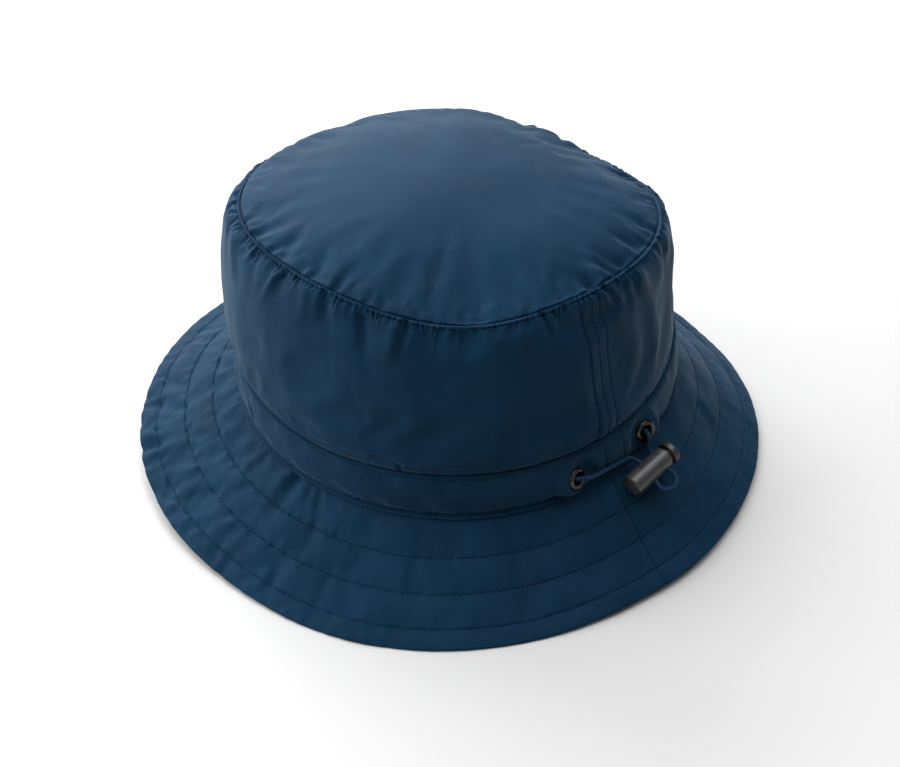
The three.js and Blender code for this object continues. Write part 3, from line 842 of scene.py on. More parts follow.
def ripples(points, sets):
    """Soft waves over a panel, in millimetres, from sets of (seed, height, shortest, longest)"""
    field = np.zeros(points.shape[:2])
    for seed, height, *lengths in sets:
        rng = np.random.default_rng(seed)
        total = np.zeros_like(field)
        for _ in range(RIPPLE_WAVES):
            way = rng.normal(size=3)
            way *= 2 * math.pi / (np.linalg.norm(way) * rng.uniform(*lengths))
            total += np.sin(points @ way + rng.uniform(0, 2 * math.pi))
        field += total * height / math.sqrt(RIPPLE_WAVES)
    return field


def ditch(distance, width, depth):
    return depth * np.exp(-(distance / width) ** 2)


def strip_between(turns, left, right, left_edge, right_edge):
    """1 on a strip of cloth between two lines, and 0 off it"""
    return rise(turns - left, left_edge) * (1 - rise(turns - right, right_edge))


def beads(turns, count, mean, swing):
    """A row of beads round a seam"""
    return mean + swing * np.cos(np.radians(turns) * count)[None, :]


def leaning(creases, held_start):
    """Creases from rows of (turn, start, lean in degrees, length, width, depth)"""
    return [(turn, start, math.radians(lean), *sizes, held_start) for turn, start, lean, *sizes in creases]


# Stitches. Along each one: places, heights and girths, the last two in radii of its thread.
STITCH_PITCH = 2.35
STITCH_LENGTH = 1.75
STITCH_RADIUS = 0.16
STITCH_PLACES = np.array([0, 0.14, 0.5, 0.86, 1])
STITCH_HEIGHTS = np.array([-0.9, 0.15, 0.55, 0.15, -0.9])
STITCH_GIRTHS = np.array([0.6, 0.95, 1.0, 0.95, 0.6])
STITCH_SIDES = 5
# Dark discs of painted shade at the needle holes: their radius, how far they sit off the cloth, and their
# sides
HOLE_RADIUS = 0.42
HOLE_RAISE = 0.07
HOLE_SIDES = 8


def stitch_threads(starts, length, radius, at_path, at_normals):
    """Points and faces of short threads that start at lengths along a path"""
    places = starts[:, None] + STITCH_PLACES * length
    centre, up = at_path(places), unit(at_normals(places))
    side = np.cross(unit(np.gradient(centre, axis=1)), up)
    ring = circle(STITCH_SIDES, up, side)
    centre = centre + up * (STITCH_HEIGHTS * radius)[:, None]
    points = centre[:, :, None] + ring * (STITCH_GIRTHS * radius)[:, None, None]
    rings = len(STITCH_PLACES)
    first = np.arange(len(starts))[:, None, None] * rings * STITCH_SIDES
    end = np.arange(STITCH_SIDES)
    ends = np.array([(rings - 1) * STITCH_SIDES + end, end[::-1]])
    faces = (tube_faces(rings, STITCH_SIDES, STITCH_SIDES) + first).reshape(-1, 4).tolist()
    return points.reshape(-1, 3), faces + (ends + first).reshape(-1, STITCH_SIDES).tolist()


def needle_holes(places, at_path, at_normals, path_steps, first):
    """Points and faces of dark discs on the cloth at lengths along a path: painted shade of the needle holes
    """
    out, along = unit(at_normals(places)), unit(path_steps(places))
    middle = at_path(places) + out * HOLE_RAISE
    points = middle[:, None] + circle(HOLE_SIDES, along, np.cross(along, out)) * HOLE_RADIUS
    faces = first + np.arange(len(places))[:, None] * HOLE_SIDES + np.arange(HOLE_SIDES)[::-1]
    return points.reshape(-1, 3), faces.tolist()


def stitched(
    name, path, normals, pitch=STITCH_PITCH, length=STITCH_LENGTH, radius=STITCH_RADIUS, material=THREAD,
):
    """A row of stitches along a path, each bowed up between the two holes that it dives into, with a dark
    disc of painted shade at each hole
    """
    travelled = lengths_along(path)
    total = travelled[-1]
    count = max(1, int(total / pitch))
    gap = pitch - length
    starts = (np.arange(count) + 0.5 * (1 - length / pitch)) * total / count

    def along(values):
        return lambda places: at_lengths(places, travelled, values)

    at_path, at_normals = along(path), along(normals)
    points, faces = stitch_threads(starts, length, radius, at_path, at_normals)
    holes = np.clip(np.append(starts - gap / 2, starts[-1] + length + gap / 2), 0, total)
    # Dark discs of painted shade at the needle holes
    hole_points, hole_faces = needle_holes(
        holes, at_path, at_normals, along(np.gradient(path, axis=0)), len(points),
    )
    piece = add_mesh(name, np.concatenate([points, hole_points]), faces + hole_faces)
    piece.data.materials.append(material)
    piece.data.materials.append(HOLE_SHADE)
    slots = np.zeros(len(faces) + len(hole_faces), dtype=np.int32)
    slots[len(faces):] = 1
    piece.data.polygons.foreach_set("material_index", slots)
    belongs(piece, "hat", "cloth")


def stitch_ring(name, points, down, distance, **kind):
    """Stitches all round a panel, a distance down from its first row that may differ between columns"""
    rows, columns = (np.arange(count) for count in points.shape[:2])
    distances = np.broadcast_to(distance, columns.shape)
    place = np.array([np.interp(distances[c], down[:, c], rows) for c in columns])
    low = np.clip(np.floor(place).astype(int), 0, len(rows) - 2)
    f = (place - low)[:, None]
    path, ways = (mix(grid[low, columns], grid[low + 1, columns], f) for grid in (points, outward(points)))
    stitched(name, np.vstack([path, path[:1]]), np.vstack([ways, ways[:1]]), **kind)


def stitch_line(name, points, turns, line):
    """Stitches down a panel along a line, which has a turn for each of its rows"""
    rows = np.arange(len(points))
    column = np.searchsorted(turns, line) - 1
    f = ((line - turns[column]) / (turns[column + 1] - turns[column]))[:, None]
    path, ways = (mix(grid[rows, column], grid[rows, column + 1], f) for grid in (points, outward(points)))
    stitched(name, path, ways)


# Panels
def panel_points(points, moved, field):
    """A panel's outer face, from its plain face, its simulated moves and what is pressed into it"""
    settled = points + moved
    return settled - outward(settled) * field[..., None]


def add_panel(name, points, faces, uv):
    piece = add_mesh(name, points, faces, uv)
    piece.data.materials.append(NYLON)
    return piece


def flat_places(turns, down, radius):
    """Coordinates along and down the cloth, in metres"""
    along, down = np.broadcast_arrays(np.radians(turns) * radius, down)
    return np.stack([along, down], axis=-1).reshape(-1, 2) * MM


def closed_shell(name, turns, rings, uv_radius, uv_step):
    """A closed panel from rings of points, one after another round its section"""
    points = np.stack(rings)
    uv = flat_places(turns, np.arange(len(rings))[:, None] * uv_step, uv_radius)
    return add_panel(name, points.reshape(-1, 3), grid_faces(*points.shape[:2], closed_rows=True), uv)


# Wall. Where its cloth rolls over its seam and where it ends inside, from the seam, and where it turns in
# at its lower edge: distances below the edge and inside it.
WALL_ROLL = [(0.95, -1.3), (0.80, -0.6), (0.66, -0.15), (0.45, 0.08), (0.2, 0.1)]
WALL_INNER_END = [(2.2, -2.6)]
WALL_EDGE_ROLL = [(0.25, 0.25), (0.1, 1)]
WALL_UV_RADIUS = 90
WALL_UV_STEPS = (0.3, 1.1)
WALL_COLUMNS = 740
WALL_SEAM_COLUMNS = (78.5, 90.5, 0.24)
WALL_ROWS = ((0.03, 11), (0.2, 15), (0.9, 32), (1, 12))
WALL_FINE_ROWS = 22
WALL_SIM_ROWS = 26
WALL_HELD = {0: 1, 1: 0.3, -2: 1, -1: 1}
WALL_RIPPLES = [(3, 0.3, 30, 80), (43, 0.11, 9, 26)]
WALL_EDGE_TURN = 1.15
WALL_EDGE_REACH = 1.6
SEAM_STITCH = 1.15
SEAM_BEADS = 232
SEAM_BEAD_AT = 0.5
TUCK_START = SEAM_STITCH - 0.2
TUCK_LENGTH = 3.2
TUCK_WIDTH = 0.5
TUCK_DEPTH = 0.48
TUCK_SIZES = (-0.1, 0.5)

# Creases over parts of the way round: from and to turn, number, depth, length, width and lean
WALL_END_TUCKS = [(0, 360, 110, 0.36, 3.6, 0.8, 0)]
WALL_PUCKERS = [
    (322, 402, 22, 0.95, 11, 1.4, 0),
    (42, 66, 7, 0.6, 6, 1.1, 0),
    (66, 100, 10, 0.75, 9, 1.2, 0),
    (100, 150, 14, 0.7, 9, 1.3, 0),
    (150, 322, 50, 0.75, 10, 1.3, 0),
]

# The felled seam down the back of the wall: turns of its stitch rows and of its folded edge by fraction
BACK_SEAM_FRACTIONS = (0.03, 0.30, 0.65, 0.95)
BACK_SEAM_LINES = {
    "left": (79.9, 81.1, 82.2, 83.0),
    "middle": (83.0, 84.1, 85.1, 85.9),
    "right": (85.4, 86.8, 87.8, 88.4),
}
BACK_SEAM_RAISE = 0.4
BACK_SEAM_START = 1.2
SEAM_SHADOW = 0.3
BACK_SEAM_ROWS = slice(8, -3)


def seam_tucks(rng):
    """A short tuck between each two stitches of the top seam"""
    tucks = []
    for stitch in range(SEAM_BEADS):
        size = math.exp(rng.normal(*TUCK_SIZES))
        turn = (stitch + 0.5) * FULL_TURN / SEAM_BEADS
        lean = math.radians(rng.normal(*CREASE_LEANS))
        length, width, depth = TUCK_LENGTH * size, TUCK_WIDTH, TUCK_DEPTH * size
        tucks.append((turn, TUCK_START, lean, length, width, depth, True))
    return tucks


def back_seam(fractions):
    """The turns of the back seam's three lines at some fractions"""
    return [np.interp(fractions, BACK_SEAM_FRACTIONS, line) for line in BACK_SEAM_LINES.values()]


def back_seam_field(turns, fractions, radius, down):
    left, middle, right = back_seam(fractions)
    per_degree = math.radians(1) * radius
    field = -BACK_SEAM_RAISE * strip_between(turns, left, right, left_edge=0.5, right_edge=0.28)
    field += ditch((turns - left) * per_degree, width=0.38, depth=0.5)
    field += ditch((turns - middle) * per_degree, width=0.38, depth=0.38)
    field += ditch((turns - right - SEAM_SHADOW) * per_degree, width=0.5, depth=0.5)
    return field * rise(down - BACK_SEAM_START, over=BACK_SEAM_START)


def wall_surface(turns, fractions, moved, creases, end_creases):
    """The wall's outer face, with how far down the cloth each point is"""
    plain, radius = face_grid(wall_face, turns, fractions)
    down = distance_down(plain)
    field = fold_depth(WALL_FOLDS, turns[None, :], fractions)
    field += FINE_FOLD_DEPTH * fold_depth(WALL_FINE_FOLDS, turns[None, :], fractions)
    field += ripples(plain, WALL_RIPPLES)
    for turn, fraction, shift, turn_width, fraction_width in WALL_SHIFTS:
        near = np.exp(-(wrapped(turns[None, :] - turn) / turn_width) ** 2)
        field -= shift * near * np.exp(-((fractions - fraction) / fraction_width) ** 2)
    press_all(field, turns, radius, down, creases)
    field += ditch(down - SEAM_STITCH, width=0.3, depth=0.42)
    ridge = ditch(down - SEAM_BEAD_AT, width=0.34, depth=0.32)
    field -= ridge * beads(turns, SEAM_BEADS, mean=0.6, swing=0.7)
    field += back_seam_field(turns, fractions, radius, down)
    if fractions[-1, 0] == 1:
        up = down[-1][None, :] - down
        press_upwards(field, turns, radius, up, end_creases)
        field += WALL_EDGE_TURN * (1 - rise(up, WALL_EDGE_REACH))
    return panel_points(plain, finer(moved, fractions, turns), field), down


def wall_lining(points, turns):
    """Rings of the wall from its lower edge, down behind the band and back up its inner face"""
    way_out = outward(points)
    inner = points - way_out * CLOTH
    edge, edge_way = points[-1], way_out[-1]
    (foot_r, foot_z), (lip_r, lip_z) = edge_line("band", turns), edge_line("lip", turns)
    behind_band = CLOTH + CHANNEL
    return [
        *[edge - (0, 0, below) - edge_way * inside for below, inside in WALL_EDGE_ROLL],
        raised(turns, foot_r - behind_band, foot_z + SEWN_GAP),
        raised(turns, lip_r - behind_band, lip_z + 2 * SEWN_GAP),
        raised(turns, lip_r - behind_band - CLOTH, lip_z + 2 * SEWN_GAP),
        raised(turns, foot_r - behind_band - CLOTH, foot_z + SEWN_GAP + CLOTH),
        *inner[-12:10:-6],
        *by_seam(turns, WALL_INNER_END),
    ]


def wall_shell_faces(upper_rows, lower_rows, columns):
    """Faces of a closed shell whose upper rows have two points for each one of the lower rows"""
    first_lower = upper_rows * 2 * columns
    faces = grid_faces(upper_rows, 2 * columns)
    faces += joining_faces(columns, first_lower - 2 * columns, first_lower)
    faces += grid_faces(lower_rows, columns, first=first_lower)
    last = first_lower + (lower_rows - 1) * columns
    for c in range(columns):
        d = (c + 1) % columns
        faces.append((last + c, 2 * c, 2 * c + 1, 2 * d, last + d))
    return faces


def wall_panel():
    turns = columns_with(WALL_COLUMNS, WALL_SEAM_COLUMNS)
    fractions = graded(*WALL_ROWS)
    base = sim_grid(wall_face, WALL_SIM_ROWS)
    moved = buckled("wall_cloth", base, WALL_HELD, slack=0.014, seed=11, cap=2.6)
    rng = np.random.default_rng(5)
    creases = random_creases(rng, WALL_PUCKERS, SEAM_STITCH) + seam_tucks(rng)
    end_creases = random_creases(rng, WALL_END_TUCKS, 0)
    points, down = wall_surface(turns, fractions, moved, creases, end_creases)
    fine_turns = halved(turns)
    fine, fine_down = wall_surface(fine_turns, fractions[:WALL_FINE_ROWS + 1], moved, creases, end_creases)
    upper = np.stack([*by_seam(fine_turns, WALL_ROLL), *fine[:WALL_FINE_ROWS]])
    lower = np.stack([*points[WALL_FINE_ROWS:], *wall_lining(points, turns)])
    roll_step, lining_step = WALL_UV_STEPS
    roll_down = np.arange(-len(WALL_ROLL), 0)[:, None] * roll_step + np.zeros(len(fine_turns))
    upper_down = np.concatenate([roll_down, fine_down[:WALL_FINE_ROWS]])
    lower_down = down[-1].max() + np.arange(len(lower))[:, None] * lining_step + np.zeros(len(turns))
    lower_down[:len(points) - WALL_FINE_ROWS] = down[WALL_FINE_ROWS:]
    parts = ((fine_turns, upper_down), (turns, lower_down))
    uv = np.concatenate([flat_places(part, part_down, WALL_UV_RADIUS) for part, part_down in parts])
    every = np.concatenate([upper.reshape(-1, 3), lower.reshape(-1, 3)])
    piece = add_panel("wall_cloth", every, wall_shell_faces(len(upper), len(lower), len(turns)), uv)
    belongs(piece, "hat", "cloth", "crown_wall")
    stitch_ring("wall_topstitch", points, down, SEAM_STITCH)
    left, middle, _ = back_seam(fractions[:, 0])
    for name, line in (("seam_stitch_left", left), ("seam_stitch_middle", middle)):
        stitch_line(name, points[BACK_SEAM_ROWS], turns, line[BACK_SEAM_ROWS])


# Top. How far its cloth puffs up beside its seam, most on the far side, and the distance to its highest.
TOP_PUFF_TURN = 238
TOP_PUFF_START = 0.1
TOP_PUFF_NEAR = 0.5
TOP_PUFF_FAR = 2.7
TOP_PUFF_REACH = 4.5
TOP_EDGE_RISE = 0.95
TOP_EDGE_WIDTH = 0.7
TOP_EDGE_REACH = 7
TOP_COLUMNS = 720
TOP_ROWS = ((0.012, 1), (0.6, 16), (0.9, 20), (0.97, 10), (1, 9))
TOP_SIM_ROWS = 30
TOP_SIM_MIDDLE = 0.02
TOP_HELD = {-2: 1, -1: 1}
TOP_STILL = 0.35
TOP_STILL_BLEND = 0.45
TOP_RIM = [(1.05, -1.1), (1.4, -2.7)]
TOP_RIPPLES = [(8, 0.35, 35, 90), (44, 0.08, 10, 28)]
TOP_PUCKERS = [
    (320, 372, 9, 0.9, 14, 2.2, 0),
    (12, 70, 11, 0.55, 8, 1.6, 0),
    (70, 150, 12, 0.85, 11, 1.9, 0),
    (150, 215, 12, 0.9, 12, 2.0, 0),
    (215, 320, 14, 0.22, 8, 1.5, 0),
]


def top_field(turns, fractions, plain, radius):
    down = distance_down(plain)
    from_seam = down[-1][None, :] - down
    field = fold_depth(TOP_FOLDS, turns[None, :], fractions) + ripples(plain, TOP_RIPPLES)
    creases = random_creases(np.random.default_rng(9), TOP_PUCKERS, 0.3)
    press_upwards(field, turns, radius, from_seam, creases)
    away = side_of(turns, TOP_PUFF_TURN, TOP_PUFF_START)
    reach = from_seam / TOP_PUFF_REACH
    field -= mix(TOP_PUFF_NEAR, TOP_PUFF_FAR, away)[None, :] * reach * np.exp(1 - reach)
    field -= TOP_EDGE_RISE * rise(from_seam, TOP_EDGE_WIDTH) * np.exp(-from_seam / TOP_EDGE_REACH)
    return field


def top_panel():
    turns = columns_with(TOP_COLUMNS)
    fractions = graded(*TOP_ROWS)
    plain, radius = face_grid(top_face, turns, fractions)
    base = sim_grid(top_face, TOP_SIM_ROWS)
    base[0] = base[0].mean(axis=0)
    base[0] += TOP_SIM_MIDDLE * (base[1] - base[0])
    moved = buckled("top_cloth", base, TOP_HELD, slack=0.008, seed=23, cap=2.2)
    moved = finer(moved, fractions, turns) * rise(fractions - TOP_STILL, TOP_STILL_BLEND)[..., None]
    points = panel_points(plain, moved, top_field(turns, fractions, plain, radius))
    inner = points - outward(points) * CLOTH
    rings = np.stack([*points[1:], *by_seam(turns, TOP_RIM), *inner[-6:0:-6]])
    count, columns = rings.shape[:2]
    poles = count * columns
    last = poles - columns
    faces = grid_faces(count, columns)
    for c in range(columns):
        d = (c + 1) % columns
        faces += [(poles, c, d), (poles + 1, last + d, last + c)]
    every = np.vstack([rings.reshape(-1, 3), points[1].mean(axis=0), rings[-1].mean(axis=0)])
    piece = add_panel("top_cloth", every, faces, every[:, :2] * MM)
    belongs(piece, "hat", "cloth", "crown_top")


# Band. How deep its top edge turns in and over what distance, and how far down its ridge and ditch are.
BAND_EDGE_TURN = 1.3
BAND_EDGE_REACH = 1.1
BAND_RIDGE_DOWN = 1.4
BAND_DITCH_DOWN = 2.3
BAND_FULLNESS = 0.8
BAND_TOP_IN = 0.5
BAND_EDGE_ROLL = 0.3
BAND_COLUMNS = 680
BAND_EYELET_COLUMNS = (70.5, 106, 0.28)
BAND_ROWS = ((0.1, 13), (0.8, 18), (1, 18))
BAND_SIM_ROWS = 14
BAND_HELD = {0: 1, 1: 1, -3: 1, -2: 1, -1: 1}
BAND_RIPPLES = [(12, 0.2, 15, 50), (45, 0.08, 8, 20)]
BAND_PUCKERS = [(0, 360, 150, 0.20, 3.6, 0.8, 0)]
# Creases at the photo's left: turn, start, lean in degrees, length, width and depth
BAND_CREASES = [(331, 3, -25, 17, 2.4, 0.8), (340, 6, 30, 12, 1.8, 0.6), (322, 4, 10, 15, 2.0, 0.5)]
BAND_SEAM_LEFT = (84.0, 86.0)
BAND_SEAM_RIGHT = (89.8, 92.6)
BAND_SEAM_RAISE = 0.25
LIP_WIDTH = 2.7
LIP_BEADS = 250
LIP_GROOVE = 0.95
LIP_GROOVE_START = 0.9
LIP_GROOVE_END = 1.7
LIP_RIDGE_UP = 0.8
LIP_STITCH_DOWN = 0.35
LIP_STITCH = {"pitch": 1.8, "length": 1.2, "radius": 0.24, "material": LIP_THREAD}


def band_field(turns, fractions, plain, radius, down):
    total = down[-1][None, :]
    lip = total - LIP_WIDTH
    field = -np.sin(math.pi * np.clip(down / lip, 0, 1)) ** BAND_FULLNESS + ripples(plain, BAND_RIPPLES)
    field += BAND_EDGE_TURN * (1 - rise(down, BAND_EDGE_REACH))
    field -= ditch(down - BAND_RIDGE_DOWN, width=0.42, depth=0.75)
    field += ditch(down - BAND_DITCH_DOWN, width=0.4, depth=0.32)
    start, end = lip - LIP_GROOVE_START, total - LIP_GROOVE_END
    field += LIP_GROOVE * strip_between(down, start, end, left_edge=0.5, right_edge=0.5)
    rope = beads(turns, LIP_BEADS, mean=0.8, swing=0.5)
    field -= ditch(total - down - LIP_RIDGE_UP, width=0.45, depth=0.8) * rope
    creases = random_creases(np.random.default_rng(14), BAND_PUCKERS, 0)
    press_upwards(field, turns, radius, lip - down, creases)
    press_all(field, turns, radius, down, leaning(BAND_CREASES, held_start=False))
    per_degree = math.radians(1) * radius
    left, right = mix(*BAND_SEAM_LEFT, fractions), mix(*BAND_SEAM_RIGHT, fractions)
    field -= BAND_SEAM_RAISE * strip_between(turns, left, right, left_edge=0.8, right_edge=0.4)
    field += ditch((turns - left) * per_degree, width=0.4, depth=0.4)
    field += ditch((turns - right - SEAM_SHADOW) * per_degree, width=0.45, depth=0.5)
    return field


def pulled_to_eyelets(settled, turns, fractions, directions):
    """The band's points, drawn onto the flat seat of each eyelet near it"""
    radius, height = band_plain(turns[None, :], fractions)
    pulled, levels = np.hypot(settled[..., 0], settled[..., 1]), settled[..., 2]
    for eyelet in EYELETS.values():
        point, normal = seat_of(eyelet)
        weight = seat_weight(turns[None, :], fractions, radius, height, eyelet, point)
        seat = (point.dot(normal) - height * normal[2]) / (directions @ normal)
        pulled = mix(pulled, seat - SEAT_GAP, weight)
        levels = mix(levels, height, weight)
    return raised(turns[None, :], pulled, levels)


def band_panel():
    turns = columns_with(BAND_COLUMNS, BAND_EYELET_COLUMNS)
    fractions = graded(*BAND_ROWS)
    plain, radius = face_grid(band_plain, turns, fractions)
    down = distance_down(plain)
    field = band_field(turns, fractions, plain, radius, down)
    base = sim_grid(band_plain, BAND_SIM_ROWS)
    moved = buckled("band_cloth", base, BAND_HELD, slack=0.008, seed=31, cap=1.0)
    directions = raised(turns, np.ones(len(turns)), np.zeros(len(turns)))
    settled = panel_points(plain, finer(moved, fractions, turns), field)
    points = pulled_to_eyelets(settled, turns, fractions, directions)
    inner = points - directions * CLOTH
    piece = closed_shell("band_cloth", turns, [
        points[0] - directions * BAND_TOP_IN + (0, 0, BAND_EDGE_ROLL),
        *points,
        points[-1] - (0, 0, BAND_EDGE_ROLL) - directions * BAND_EDGE_ROLL,
        *inner[::-3],
    ], uv_radius=90, uv_step=0.8)
    for eyelet in EYELETS.values():
        cut_round_hole(piece, eyelet_matrix(eyelet), EYELET_NECK + EYELET_GAP, reach=5)
    belongs(piece, "hat", "cloth", "band")
    stitch_ring("band_lip_stitch", points, down, down[-1] - LIP_WIDTH + LIP_STITCH_DOWN, **LIP_STITCH)


# Brim. Where its stitch rows are, and the steps of its cloth, which are finer beside them.
BRIM_ROWS = (0.299, 0.582, 0.857)
BRIM_STEPS = ((0.05, 4), (0.272, 8), (0.326, 10), (0.555, 8), (0.609, 10), (0.83, 8), (0.884, 10), (1, 6))
BRIM_COLUMNS = 820
BRIM_SEAM_COLUMNS = (84.6, 88.6, 0.16)
BRIM_SIM_ROWS = 36
BRIM_HELD = {0: 1, 1: 1, -2: 0.8, -1: 0.8}
BRIM_ROW_HELD = 0.9
BRIM_FULL_TURN = 335
BRIM_FULL_WIDTH = 50
BRIM_LEAST_MOVE = 0.35
BRIM_PUFF = 0.3
BRIM_RIPPLES = [(17, 0.3, 25, 70), (46, 0.13, 9, 26)]
BRIM_SEAM_TURNED_IN = 1.6
BRIM_SEAM = (87.6, 85.6)
LIP_PUCKERS = [(300, 370, 11, 0.50, 11, 1.8, 0), (10, 300, 40, 0.16, 5, 1.4, 0)]
ROW_PUCKERS = [(290, 375, 14, 0.24, 8, 1.5, -18), (15, 290, 60, 0.12, 4.5, 1.1, 0)]
LEFT_CREASES = [(296, 358, 10, 0.75, 17, 2.4, -42)]

# Soft dents: turn, distance down, lean in degrees, length, width and depth
BRIM_DENTS = [
    (1, 0, -6, 30, 3.8, 2.2),
    (10, 14, 25, 20, 3.0, 0.5),
    (345, 6, -35, 28, 3.4, 0.9),
    (330, 22, -40, 24, 3.0, 0.8),
    (35, 20, 30, 24, 4.0, 0.5),
    (352, 30, -30, 20, 2.8, 0.6),
    (64, 26, -35, 22, 4.0, 0.4),
    (312, 8, -45, 30, 3.6, 0.9),
    (104, 4, 20, 26, 3.4, 0.7),
    (128, 16, -25, 28, 4.0, 0.6),
    (160, 8, 30, 26, 3.6, 0.8),
    (195, 20, -30, 24, 3.6, 0.7),
    (230, 10, 25, 28, 4.0, 0.7),
    (265, 18, -35, 26, 3.4, 0.8),
    (288, 30, 30, 18, 2.8, 0.6),
]

# How far the rim's edge stands out of the even section: turn and distance
RIM_SHIFTS = [
    (-30, 1.2), (-15, 0), (1, -1.2), (13, 0.2), (24, 1.9), (35, 2.2), (45, 1.2), (57, -0.3), (68, -1.9),
    (79, -3.0), (93, -1.8), (105, -2.3), (115, -1.9), (126, -1.5), (140, -0.5), (160, 0), (329, 1.2),
]
RIM_SHIFT_START = 0.25
RIM_SOFTENING = (-6, -3, 0, 3, 6)

# Where the hem rolls down to the floor: fraction of the way down and distance out
RIM_ROLL = [(0.22, 0.38), (0.5, 0.5), (0.8, 0.34)]
RIM_INNER_GAP = 0.05


def rim_shift(turns):
    """The rim's shift at some turns, in millimetres"""
    places, shifts = zip(*sorted((turn % FULL_TURN, shift) for turn, shift in RIM_SHIFTS))
    near = [np.interp(turns + step, places, shifts, period=FULL_TURN) for step in RIM_SOFTENING]
    return np.mean(near, axis=0)


def brim_field(turns, fractions, plain, radius, down):
    total = down[-1][None, :]
    field = np.zeros_like(radius)
    rng = np.random.default_rng(21)
    press_all(field, turns, radius, down, random_creases(rng, LIP_PUCKERS, 1))
    for row in BRIM_ROWS:
        below = down - row * total
        press_all(field, turns, radius, below, random_creases(rng, ROW_PUCKERS, 0))
        press_upwards(field, turns, radius, -below, random_creases(rng, ROW_PUCKERS, 0))
        field += ditch(below, width=0.4, depth=0.36)
    edges = (0, *BRIM_ROWS, 1)
    for start, end in zip(edges, edges[1:]):
        field -= BRIM_PUFF * np.sin(math.pi * np.clip((fractions - start) / (end - start), 0, 1))
        creases = random_creases(rng, LEFT_CREASES, 1, held_start=False)
        press_all(field, turns, radius, down - start * total, creases)
    press_all(field, turns, radius, down, leaning(BRIM_DENTS, held_start=True))
    field += ripples(plain, BRIM_RIPPLES)
    from_seam = (turns - mix(*BRIM_SEAM, fractions)) * math.radians(1) * radius
    field += ditch(from_seam, width=0.42, depth=0.85)
    field -= ditch(from_seam + BRIM_SEAM_TURNED_IN, width=1.3, depth=0.2)
    return field


def brim_moves(fractions, turns):
    """The brim's simulated moves, which are fullest at the photo's left"""
    held = BRIM_HELD | {round(row * (BRIM_SIM_ROWS - 1)): BRIM_ROW_HELD for row in BRIM_ROWS}
    base = sim_grid(brim_face, BRIM_SIM_ROWS)
    moved = buckled("brim_cloth", base, held, slack=0.010, seed=47, cap=1.2, bending=0.6)
    near = np.exp(-(wrapped(SIM_TURNS - BRIM_FULL_TURN) / BRIM_FULL_WIDTH) ** 2)
    return finer(moved * mix(BRIM_LEAST_MOVE, 1, near)[None, :, None], fractions, turns)


def brim_panel():
    turns = columns_with(BRIM_COLUMNS, BRIM_SEAM_COLUMNS)
    fractions = graded(*BRIM_STEPS)
    radius, height = brim_face(turns[None, :], fractions)
    radius = radius + rim_shift(turns)[None, :] * rise(fractions - RIM_SHIFT_START, 1 - RIM_SHIFT_START)
    plain = raised(turns[None, :], radius, height)
    down = distance_down(plain)
    field = brim_field(turns, fractions, plain, radius, down)
    points = panel_points(plain, brim_moves(fractions, turns), field)
    lip_r, lip_z = edge_line("lip", turns)
    inner_edge = CLOTH + CHANNEL + CLOTH
    directions = raised(turns, np.ones(len(turns)), np.zeros(len(turns)))
    floor_level = np.maximum(section("rim_height", turns), 0)
    edge = points[-1]
    flat_edge = edge * (1, 1, 0) + floor_level[:, None] * (0, 0, 1)
    inner = points - outward(points) * BRIM_THICKNESS
    inner[..., 2] = np.maximum(inner[..., 2], floor_level + RIM_INNER_GAP)
    piece = closed_shell("brim_cloth", turns, [
        raised(turns, lip_r - inner_edge, lip_z),
        *points,
        *[mix(edge, flat_edge, down_edge) + directions * out for down_edge, out in RIM_ROLL],
        flat_edge - directions * HEM_EDGE,
        flat_edge - directions * (HEM_EDGE + REST_WIDTH),
        *inner[-7:2:-4],
        raised(turns, lip_r - inner_edge, lip_z - BRIM_THICKNESS),
    ], uv_radius=112, uv_step=0.9)
    belongs(piece, "hat", "cloth", "brim")
    for index, row in enumerate(BRIM_ROWS):
        stitch_ring(f"brim_stitch_{index + 1}", points, down, row * down[-1])


# Hardware
def frame_matrix(point, way, across):
    """A place whose height is along a way"""
    z = Vector(way).normalized()
    x = (Vector(across) - z * Vector(across).dot(z)).normalized()
    matrix = Matrix((x, z.cross(x), z)).transposed().to_4x4()
    matrix.translation = Vector(point)
    return matrix


def eyelet_matrix(eyelet):
    point, normal = seat_of(eyelet)
    return frame_matrix(point, normal, (0, 0, 1))


def lock_matrix():
    along = Vector(direction(LOCK_HEADING, LOCK_RISE))
    level = Vector(direction(LOCK_HEADING - 90, 0))
    up = level.cross(along).normalized()
    if up.z < 0:
        up.negate()
    roll = math.radians(LOCK_ROLL)
    return frame_matrix(LOCK_PLACE, along, level * math.cos(roll) - up * math.sin(roll))


def placed(points, matrix):
    rotation = np.array(matrix.to_3x3())
    return np.asarray(points) @ rotation.T + np.array(matrix.translation)


def turned(name, profile, sides, matrix):
    """A turned piece from a profile of (radius, height): solid if that starts on the axis, else a ring"""
    angles = np.arange(sides) * 2 * math.pi / sides
    on_axis = profile[0][0] == 0
    body = profile[1:-1] if on_axis else profile
    points = [(r * math.cos(a), r * math.sin(a), z) for r, z in body for a in angles]
    faces = [tuple(reversed(face)) for face in grid_faces(len(body), sides, not on_axis)]
    if on_axis:
        first, top = len(points), len(points) - sides
        points += [(0, 0, profile[0][1]), (0, 0, profile[-1][1])]
        for c in range(sides):
            d = (c + 1) % sides
            faces += [(first, d, c), (first + 1, top + c, top + d)]
    return add_mesh(name, placed(points, matrix), faces)


